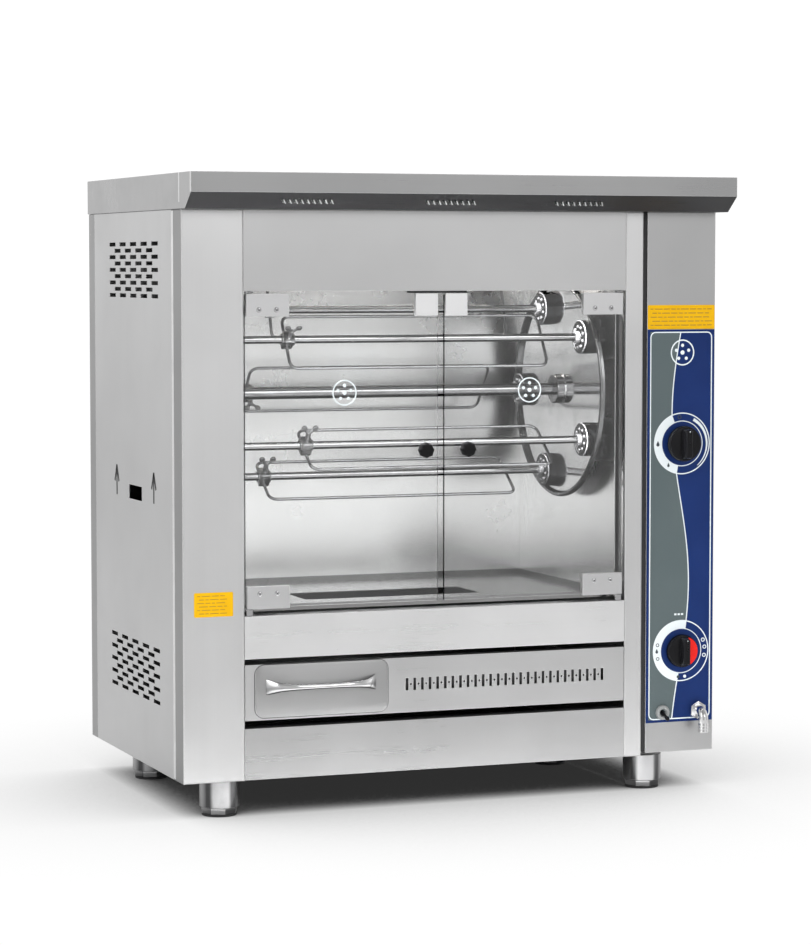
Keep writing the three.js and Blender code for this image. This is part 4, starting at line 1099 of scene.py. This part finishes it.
# ---- control fascia and its print ----
# The fascia is a screen-printed overlay on sheet: deep blue, with a grey field left of a long wave, white
# lines and two scales. Each colour is its own film of ink.
def build_overlay(name, deep, light):
    """Printed plastic film with a fine leather grain and a clear coat."""
    made, tree, shader = new_material(name, roughness=0.3)
    where = add_node(tree, "TexCoord").outputs["Object"]
    grain = add_node(tree, "TexVoronoi", Vector=where, Scale=1500.0)
    cloud = add_node(tree, "TexNoise", Vector=where, Scale=9.0, Detail=2.0)
    marks = placed(tree, handling_marks, Size=18.0)
    connect(tree, shader.inputs["Base Color"], mixed(tree, cloud.outputs["Fac"], (*deep, 1), (*light, 1)))
    connect(tree, shader.inputs["Roughness"], spread(tree, marks.outputs["Mask"], 0.0, 1.0, 0.28, 0.38))
    shader.inputs["Specular IOR Level"].default_value = 0.1
    shader.inputs["Coat Weight"].default_value = 0.01
    shader.inputs["Coat Roughness"].default_value = 0.12
    bump = add_node(tree, "Bump", Strength=0.1, Distance=0.0001, Height=grain.outputs["Distance"])
    connect(tree, shader.inputs["Normal"], bump.outputs["Normal"])
    return made


blue_film = build_overlay("blue_overlay", (0.006, 0.018, 0.085), (0.012, 0.034, 0.15))
grey_film = build_overlay("grey_overlay", (0.085, 0.11, 0.115), (0.105, 0.13, 0.135))
dress(blue_film, "control_fascia")
fascia_low, fascia_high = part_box("control_fascia")
fascia_face = fascia_low.y
dial_x = (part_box("gas_knob")[0].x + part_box("gas_knob")[1].x) / 2
gas_z = (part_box("gas_knob")[0].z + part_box("gas_knob")[1].z) / 2
switch_z = (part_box("switch_knob")[0].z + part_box("switch_knob")[1].z) / 2
border_low = (fascia_low.x + 4.2 * mm, fascia_low.z + 4.5 * mm)
border_high = (fascia_high.x - 4.2 * mm, fascia_high.z - 3.5 * mm)
ring_outer = 50 * mm
ring_inner = 37 * mm


def wave_x(z):
    """Where the wave between grey and blue stands at a height."""
    level = (z - fascia_low.z) / mm
    return dial_x - 2.5 * mm - 15.6 * mm * math.cos(math.pi * (level - 500.5) / 273)


def printed_field(bm, left_edge, right_edge, front, film):
    """A strip of ink between two edges that are lists of (x, z) from the bottom up."""
    outline = [bm.verts.new((x, front, z)) for x, z in left_edge + right_edge[::-1]]
    face = bm.faces.new(outline)
    raise_faces(bm, [face], (0, -film, 0))


heights = [border_low[1] + (border_high[1] - border_low[1]) * i / 60 for i in range(61)]
wave = [(wave_x(z), z) for z in heights]
grey_field = bmesh.new()
printed_field(grey_field, [(border_low[0], z) for z in heights], wave, fascia_face, 0.12 * mm)
make_piece("grey_field_print", grey_field, "cabinet", grey_film, slot="fascia_print")

dial_discs = bmesh.new()
for z in (gas_z, switch_z):
    spin_profile(dial_discs,
                 [(10 * mm, 0), (ring_inner, 0), (ring_inner, 0.24 * mm), (10 * mm, 0.24 * mm),
                  (10 * mm, 0)],
                 (dial_x, fascia_face, z), towards_front, steps=72)
make_piece("blue_dial_print", dial_discs, "cabinet", blue_film, slot="fascia_print")

lines = bmesh.new()
line_film = 0.3 * mm
printed_field(lines, [(x - 0.9 * mm, z) for x, z in wave], [(x + 0.9 * mm, z) for x, z in wave],
              fascia_face, 0.22 * mm)
outer_loop = rounded_outline(lines, border_low, border_high, 9 * mm, fascia_face)
inner_loop = rounded_outline(lines, tuple(edge + 1.8 * mm for edge in border_low),
                             tuple(edge - 1.8 * mm for edge in border_high), 7.2 * mm, fascia_face)
loops = [lines.edges.new(pair) for loop in (outer_loop, inner_loop)
         for pair in zip(loop, loop[1:] + loop[:1])]
border = bmesh.ops.bridge_loops(lines, edges=loops)["faces"]
raise_faces(lines, border, (0, -line_film, 0))
for z in (gas_z, switch_z):
    printed_ring(lines, (dial_x, fascia_face, z), ring_outer, ring_outer - 1.8 * mm, film=line_film,
                 steps=96)
    printed_ring(lines, (dial_x, fascia_face, z), ring_inner, ring_inner - 1.4 * mm, film=line_film,
                 steps=96)
make_piece("white_line_print", lines, "cabinet", white_ink, slot="fascia_print")

half_rings = bmesh.new()
for z in (gas_z, switch_z):
    top_angle = math.degrees(math.acos(max(-1, min(1, (wave_x(z + ring_outer) - dial_x) / ring_outer))))
    low_angle = math.degrees(math.acos(max(-1, min(1, (wave_x(z - ring_outer) - dial_x) / ring_outer))))
    sweep = 360 - top_angle - low_angle
    start = [Vector((dial_x + radius * math.cos(math.radians(top_angle)), fascia_face,
                     z + radius * math.sin(math.radians(top_angle))))
             for radius in (ring_inner, ring_outer)]
    verts = [half_rings.verts.new(point) for point in start]
    edge = half_rings.edges.new(verts)
    bmesh.ops.spin(half_rings, geom=verts + [edge], cent=(dial_x, fascia_face, z), axis=towards_front,
                   angle=math.radians(sweep), steps=48)
raise_faces(half_rings, list(half_rings.faces), (0, -0.27 * mm, 0))
make_piece("white_half_ring_print", half_rings, "cabinet", white_ink, slot="fascia_print")

sign_z = fascia_low.z + 600 * mm
emblem = bmesh.new()
spit_sign(emblem, (dial_x, fascia_face - 0.2 * mm, sign_z), 21 * mm)
make_piece("fascia_sign", emblem, "cabinet", white_ink, slot="fascia_print")


# ---- knobs ----
# Two moulded knobs: a low skirt with a bar grip across it and a white pointer line. The switch knob
# has a red half-moon let into the skirt beside its grip.
signal_red = moulded_plastic("signal_red_insert", (0.62, 0.012, 0.008), 0.28)
knob_gloss = moulded_plastic("glossy_black_knob", (0.004, 0.004, 0.005), 0.18, speckle=0.04)
knob_gloss.node_tree.nodes["Principled BSDF"].inputs["Specular IOR Level"].default_value = 0.16
signal_red.node_tree.nodes["Principled BSDF"].inputs["Specular IOR Level"].default_value = 0.16


def control_knob(bm, centre, back, radius, height):
    """A skirt with a rounded brim, and a tapered bar grip, facing the front."""
    skirt = [(0, 0), (radius, 0), (radius, 2 * mm)] + arc((radius - 3.5 * mm, 6 * mm), 2.6 * mm, 10, 85, 6)
    skirt += [(0.6 * radius, 9.6 * mm), (0, 10 * mm)]
    spin_profile(bm, skirt, (centre[0], back, centre[2]), towards_front, steps=64)
    grip = bmesh.ops.create_cube(bm, size=1)["verts"]
    bmesh.ops.scale(bm, vec=(15 * mm, height - 6 * mm, 2 * radius - 7 * mm), verts=grip)
    for vert in grip:
        if vert.co.y < 0:
            vert.co.x *= 0.72
            vert.co.z *= 0.86
    bmesh.ops.translate(bm, vec=(centre[0], back - (height + 6 * mm) / 2, centre[2]), verts=grip)
    bmesh.ops.bevel(bm, geom=list({edge for vert in grip for edge in vert.link_edges}), offset=2.6 * mm,
                    affect="EDGES", segments=4, profile=0.5, material=-1)


for node, body in (("gas_knob", "gas_knob"), ("switch_knob", "switch_knob")):
    low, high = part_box(node)
    back = fascia_face - 3.0 * mm if node == "switch_knob" else fascia_face - 6.5 * mm
    radius = (high.x - low.x) / 2
    middle = ((low.x + high.x) / 2, 0, (low.z + high.z) / 2)
    turned = bmesh.new()
    control_knob(turned, middle, back, radius, back - low.y)
    spin_profile(turned,
                 [(0, 0.4 * mm), (5 * mm, 0.4 * mm), (5 * mm, back - fascia_face), (0, back - fascia_face)],
                 (middle[0], back, middle[2]), towards_front, steps=20)
    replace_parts(make_piece(f"moulded_{node}", turned, body, knob_gloss, slot="black_plastic", sharp=40),
                node)
    pointer = bmesh.new()
    bevelled_block(pointer, (middle[0] - 0.8 * mm, low.y, middle[2] + 1 * mm),
                   (middle[0] + 0.8 * mm, low.y + 0.6 * mm, middle[2] + radius - 8 * mm), 0.1 * mm, 1)
    make_piece(f"{node}_pointer", pointer, body, white_ink)

low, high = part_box("switch_knob")
moon_radius = (high.x - low.x) / 2 - 3.2 * mm
moon_edge = 8.2 * mm
moon_angle = math.degrees(math.acos(moon_edge / moon_radius))
moon = bmesh.new()
moon_front = fascia_face - 3.0 * mm - 9.2 * mm
outline = [moon.verts.new(((low.x + high.x) / 2 + r, moon_front, (low.z + high.z) / 2 + h))
           for r, h in arc((0, 0), moon_radius, -moon_angle, moon_angle, 20)]
moon_face = moon.faces.new(outline)
raise_faces(moon, [moon_face], (0, -1.6 * mm, 0))
make_piece("red_half_moon", moon, "switch_knob", signal_red)


# ---- dial marks ----
# Generic marks round the two scales: dots and bars for the settings, a flame drop and a rising wedge.
marks_white = bmesh.new()
marks_black = bmesh.new()


def wedge(bm, centre, radius, start, end, wide, narrow, film):
    """A curved wedge of ink on a scale, from wide to narrow, between two angles."""
    outer = arc((centre[0], centre[2]), radius, start, end, 16)
    inner = [(centre[0] + (radius - wide + (wide - narrow) * i / 15)
              * math.cos(math.radians(start + (end - start) * i / 15)),
              centre[2] + (radius - wide + (wide - narrow) * i / 15)
              * math.sin(math.radians(start + (end - start) * i / 15)))
             for i in range(16)]
    printed_field(bm, outer, inner, centre[1], film)


def drop(bm, centre, size, film):
    """A flame drop of ink: a round foot that runs up to a point."""
    round_foot = [(centre[0] + size * math.cos(a), centre[2] + size * math.sin(a))
                  for a in [math.radians(150 + 240 * i / 10) for i in range(11)]]
    verts = [bm.verts.new((x, centre[1], z)) for x, z in round_foot + [(centre[0], centre[2] + 2.3 * size)]]
    face = bm.faces.new(verts)
    raise_faces(bm, [face], (0, -film, 0))


mark_film = 0.4 * mm
ring_middle = (ring_outer + ring_inner) / 2 - 0.5 * mm
gas_centre = (dial_x, fascia_face, gas_z)
switch_centre = (dial_x, fascia_face, switch_z)


def on_ring(centre, angle):
    """A place on a scale, at an angle up from the right."""
    return (centre[0] + ring_middle * math.cos(math.radians(angle)), centre[1],
            centre[2] + ring_middle * math.sin(math.radians(angle)))


wedge(marks_white, gas_centre, ring_outer - 4 * mm, 62, -52, 5 * mm, 1 * mm, mark_film)
printed_ring(marks_black, on_ring(gas_centre, 96), 3.4 * mm, 2.2 * mm, film=mark_film, steps=28)
drop(marks_black, on_ring(gas_centre, 182), 2.8 * mm, mark_film)
drop(marks_black, on_ring(gas_centre, 236), 2.2 * mm, mark_film)
for angle in (166, 196):
    printed_ring(marks_black, on_ring(switch_centre, angle), 3.0 * mm, 1.8 * mm, film=mark_film, steps=28)
for angle in (-12, 6, 22):
    printed_ring(marks_white, on_ring(switch_centre, angle), 3.4 * mm, 2.0 * mm, film=mark_film, steps=28)
for angle in (-96, -80):
    printed_dot(marks_black if angle < -90 else marks_white, on_ring(switch_centre, angle), 2.6 * mm,
                film=mark_film)
drop(marks_black, on_ring(switch_centre, 181), 2.4 * mm, mark_film)
for i in range(3):
    x = dial_x - 10 * mm + 6 * mm * i
    flat_bar(marks_white, (x, fascia_face, switch_z + 58 * mm), (x, fascia_face, switch_z + 61 * mm),
             4 * mm, (0, -mark_film, 0))
ink_dark = moulded_plastic("dark_screen_ink", (0.02, 0.03, 0.04), 0.45)
make_piece("white_dial_marks", marks_white, "cabinet", white_ink, slot="fascia_print")
make_piece("dark_dial_marks", marks_black, "cabinet", ink_dark, slot="fascia_print")


# ---- lamp switch and gas inlet ----
# The toggle switch stands in a ribbed grey collar with a black bat lever. The gas comes in through a plated
# brass elbow with a hexagon nut and a barbed end.
collar_grey = moulded_plastic("grey_collar", (0.23, 0.24, 0.24), 0.4)
low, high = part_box("toggle_switch")
toggle = ((low.x + high.x) / 2, fascia_face, (low.z + high.z) / 2)
collar = bmesh.new()
spin_profile(collar, [(5 * mm, 0), (12 * mm, 0), (12 * mm, 2.4 * mm), (11 * mm, 4.4 * mm),
                      (8.2 * mm, 5.4 * mm),
                      (6.6 * mm, 5.0 * mm), (5 * mm, 2 * mm), (5 * mm, 0)], toggle, towards_front, steps=40)
for rib in range(12):
    angle = math.radians(30 * rib)
    foot = Vector((toggle[0] + 10.6 * mm * math.cos(angle), toggle[1] - 4.2 * mm,
                   toggle[2] + 10.6 * mm * math.sin(angle)))
    head = Vector((toggle[0] + 7.6 * mm * math.cos(angle), toggle[1] - 5.4 * mm,
                   toggle[2] + 7.6 * mm * math.sin(angle)))
    flat_bar(collar, foot, head, 0.8 * mm, (0, -0.5 * mm, 0))
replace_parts(make_piece("toggle_collar", collar, "cabinet", collar_grey, slot="grey_enamel"),
            "toggle_switch")

low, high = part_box("toggle_lever")
pivot = Vector((toggle[0], high.y - 4.2 * mm, toggle[2]))
lean = math.radians(20)
reach = Vector((0, -math.cos(lean), -math.sin(lean)))
bat = bmesh.new()
spin_profile(bat, [(0, -4.1 * mm), (2.9 * mm, -2.9 * mm), (4.1 * mm, 0), (2.6 * mm, 4 * mm),
                   (2.3 * mm, 8 * mm),
                   (3.0 * mm, 18 * mm), (3.5 * mm, 22.5 * mm), (2.8 * mm, 24.8 * mm), (0, 25.8 * mm)],
             pivot, reach, steps=24)
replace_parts(make_piece("bat_lever", bat, "toggle_lever", knob_gloss, slot="black_plastic"), "toggle_lever")

plated = bright_metal("plated_elbow", (0.78, 0.78, 0.785), 0.12)
low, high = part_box("gas_inlet_elbow")
elbow_x = (low.x + high.x) / 2
elbow_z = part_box("gas_inlet_elbow")[1].z - 13 * mm
nose_y = low.y + 8.2 * mm
nut = bmesh.new()
hexagon = bmesh.ops.create_circle(nut, cap_ends=True, segments=6, radius=15 * mm)["verts"]
bmesh.ops.transform(nut, matrix=Matrix.Translation((elbow_x, fascia_face, elbow_z)) @ Matrix.Rotation(
    math.radians(90), 4, "X"), verts=hexagon)
raise_faces(nut, list(nut.faces), (0, -8.5 * mm, 0))
bmesh.ops.bevel(nut, geom=list(nut.edges), offset=0.7 * mm, affect="EDGES", segments=2, profile=0.5,
                material=-1)
spin_profile(nut,
             [(0, 8.4 * mm), (11.5 * mm, 8.4 * mm), (12 * mm, 9.4 * mm), (10 * mm, 10.6 * mm),
              (0, 10.6 * mm)],
             (elbow_x, fascia_face, elbow_z), towards_front, steps=32)
run_wire(nut, [(elbow_x, fascia_face, elbow_z), (elbow_x, nose_y, elbow_z), (elbow_x, nose_y, low.z)],
         8.1 * mm, 13 * mm, sides=24, bend_steps=8)
for ring in range(3):
    spin_profile(nut, [(7.9 * mm, 0), (8.9 * mm, 0.3 * mm), (8.0 * mm, 4.2 * mm), (7.9 * mm, 0)],
                 (elbow_x, nose_y, low.z + (1.5 + 5 * ring) * mm), (0, 0, 1), steps=24)
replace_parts(make_piece("plated_gas_elbow", nut, "cabinet", plated, slot="chrome_plate"), "gas_inlet_elbow")


# ---- legs ----
# A plated tube screwed under the frame, an eight-sided adjusting foot that turns in it, and a black rubber
# pad.
leg_plate = bright_metal("satin_leg_plating", (0.50, 0.50, 0.505), 0.13, smear=0.12)
leg_tree, leg_shader, leg_tone = colour_so_far(leg_plate)
leg_facing = facing_of(leg_tree)
# painted reflection: upright dark bands where the leg faces to either side at set angles
left_band = maths(leg_tree, "ABSOLUTE", maths(leg_tree, "SUBTRACT", leg_facing.outputs["X"], -0.78))
right_band = maths(leg_tree, "ABSOLUTE", maths(leg_tree, "SUBTRACT", leg_facing.outputs["X"], 0.42))
painted_leg_bands = maths(leg_tree, "ADD", spread(leg_tree, left_band, 0.06, 0.2, 0.9, 0.0),
                  spread(leg_tree, right_band, 0.1, 0.26, 0.85, 0.0), clamp=True)
connect(leg_tree, leg_shader.inputs["Base Color"],
        mixed(leg_tree, painted_leg_bands, leg_tone, (0.06, 0.06, 0.062, 1)))
rubber = moulded_plastic("black_rubber_pad", (0.015, 0.015, 0.016), 0.7)
for corner in ("front_left", "front_right", "rear_left", "rear_right"):
    low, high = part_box(f"leg_{corner}")
    foot = ((low.x + high.x) / 2, (low.y + high.y) / 2, low.z)
    leg = bmesh.new()
    spin_profile(leg, [(0, 55.6 * mm), (30.2 * mm, 55.6 * mm), (31 * mm, 55 * mm), (31 * mm, 14.8 * mm),
                       (30.2 * mm, 14 * mm), (28.4 * mm, 14 * mm), (28.4 * mm, 13.2 * mm), (0, 13.2 * mm)],
                 foot, (0, 0, 1), steps=64)
    octagon = bmesh.ops.create_cone(leg, cap_ends=True, segments=8, radius1=28.2 * mm, radius2=29.4 * mm,
                                    depth=9.6 * mm)["verts"]
    bmesh.ops.translate(leg, vec=Vector(foot) + Vector((0, 0, 8.6 * mm)), verts=octagon)
    bmesh.ops.bevel(leg, geom=list({edge for vert in octagon for edge in vert.link_edges}), offset=0.9 * mm,
                    affect="EDGES", segments=2, profile=0.5, material=-1)
    pad = bmesh.new()
    spin_profile(pad,
                 [(0, 0), (26 * mm, 0), (27 * mm, 0.8 * mm), (27 * mm, 3.2 * mm), (26.2 * mm, 4 * mm),
                  (0, 4 * mm)],
                 foot, (0, 0, 1), steps=48)
    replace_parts(make_piece(f"plated_leg_{corner}", leg, "cabinet", leg_plate, slot="chrome_plate"),
                f"leg_{corner}")
    make_piece(f"rubber_pad_{corner}", pad, "cabinet", rubber)


# ---- gap seal and yellow plates ----
# A black foam strip closes the gap between the cabinet and the control box and makes the gap dark: partly a
# real seal, partly painted shade. Two plain yellow stickers, with rows of dashes and no words, stand where
# the real oven has its notices.
side_low, side_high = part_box("right_side_wall")
seal = bmesh.new()
bevelled_block(seal, (side_high.x, side_low.y + 1.8 * mm, box_low.z + 2 * mm),
               (box_low.x + 12 * mm, side_low.y + 14 * mm, box_high.z - 2 * mm), 0.5 * mm)
make_piece("foam_gap_seal", seal, "cabinet", rubber, slot="black_plastic")


def build_sticker():
    """Glossy yellow vinyl, slightly faded and rippled."""
    made, tree, shader = new_material("yellow_vinyl", roughness=0.35)
    shader.inputs["Specular IOR Level"].default_value = 0.15
    where = add_node(tree, "TexCoord").outputs["Object"]
    ripple = add_node(tree, "TexNoise", Vector=where, Scale=45.0, Detail=3.0)
    connect(tree, shader.inputs["Base Color"],
            mixed(tree, ripple.outputs["Fac"], (0.68, 0.36, 0.0005, 1), (0.78, 0.45, 0.001, 1)))
    connect(tree, shader.inputs["Roughness"], spread(tree, ripple.outputs["Fac"], 0.3, 0.7, 0.3, 0.42))
    bump = add_node(tree, "Bump", Strength=0.2, Distance=0.0004, Height=ripple.outputs["Fac"])
    connect(tree, shader.inputs["Normal"], bump.outputs["Normal"])
    return made


yellow_vinyl = build_sticker()
dash_ink = moulded_plastic("sticker_dashes", (0.30, 0.16, 0.004), 0.5)


def sticker(name, low, high, front, rows):
    """A yellow sticker with rows of dashes, on a surface that faces the front."""
    vinyl = bmesh.new()
    face = vinyl.faces.new(rounded_outline(vinyl, low, high, 2 * mm, front, 4))
    raise_faces(vinyl, [face], (0, -0.25 * mm, 0))
    make_piece(name, vinyl, "cabinet", yellow_vinyl)
    dashes = bmesh.new()
    pitch = (high[1] - low[1]) / (rows + 1)
    for row in range(rows):
        z = high[1] - pitch * (row + 1)
        x = low[0] + 5 * mm + (row % 2) * 3 * mm
        step = 0
        while x < high[0] - 12 * mm:
            length = (5 + 3 * ((row * 5 + step * 7) % 4)) * mm
            flat_bar(dashes, (x, front, z), (min(x + length, high[0] - 5 * mm), front, z), 0.22 * pitch,
                     (0, -0.32 * mm, 0))
            x += length + 2.2 * mm
            step += 1
    make_piece(f"{name}_dashes", dashes, "cabinet", dash_ink)


sticker("control_box_sticker", (box_low.x + 0.7 * mm, fascia_high.z + 0.6 * mm),
        (box_high.x - 0.6 * mm, fascia_high.z + 39.5 * mm), box_low.y, 5)
sticker("column_sticker", (column_low.x + 18 * mm, column_low.z + 256 * mm),
        (column_low.x + 80.5 * mm, column_low.z + 293.5 * mm), column_low.y, 6)
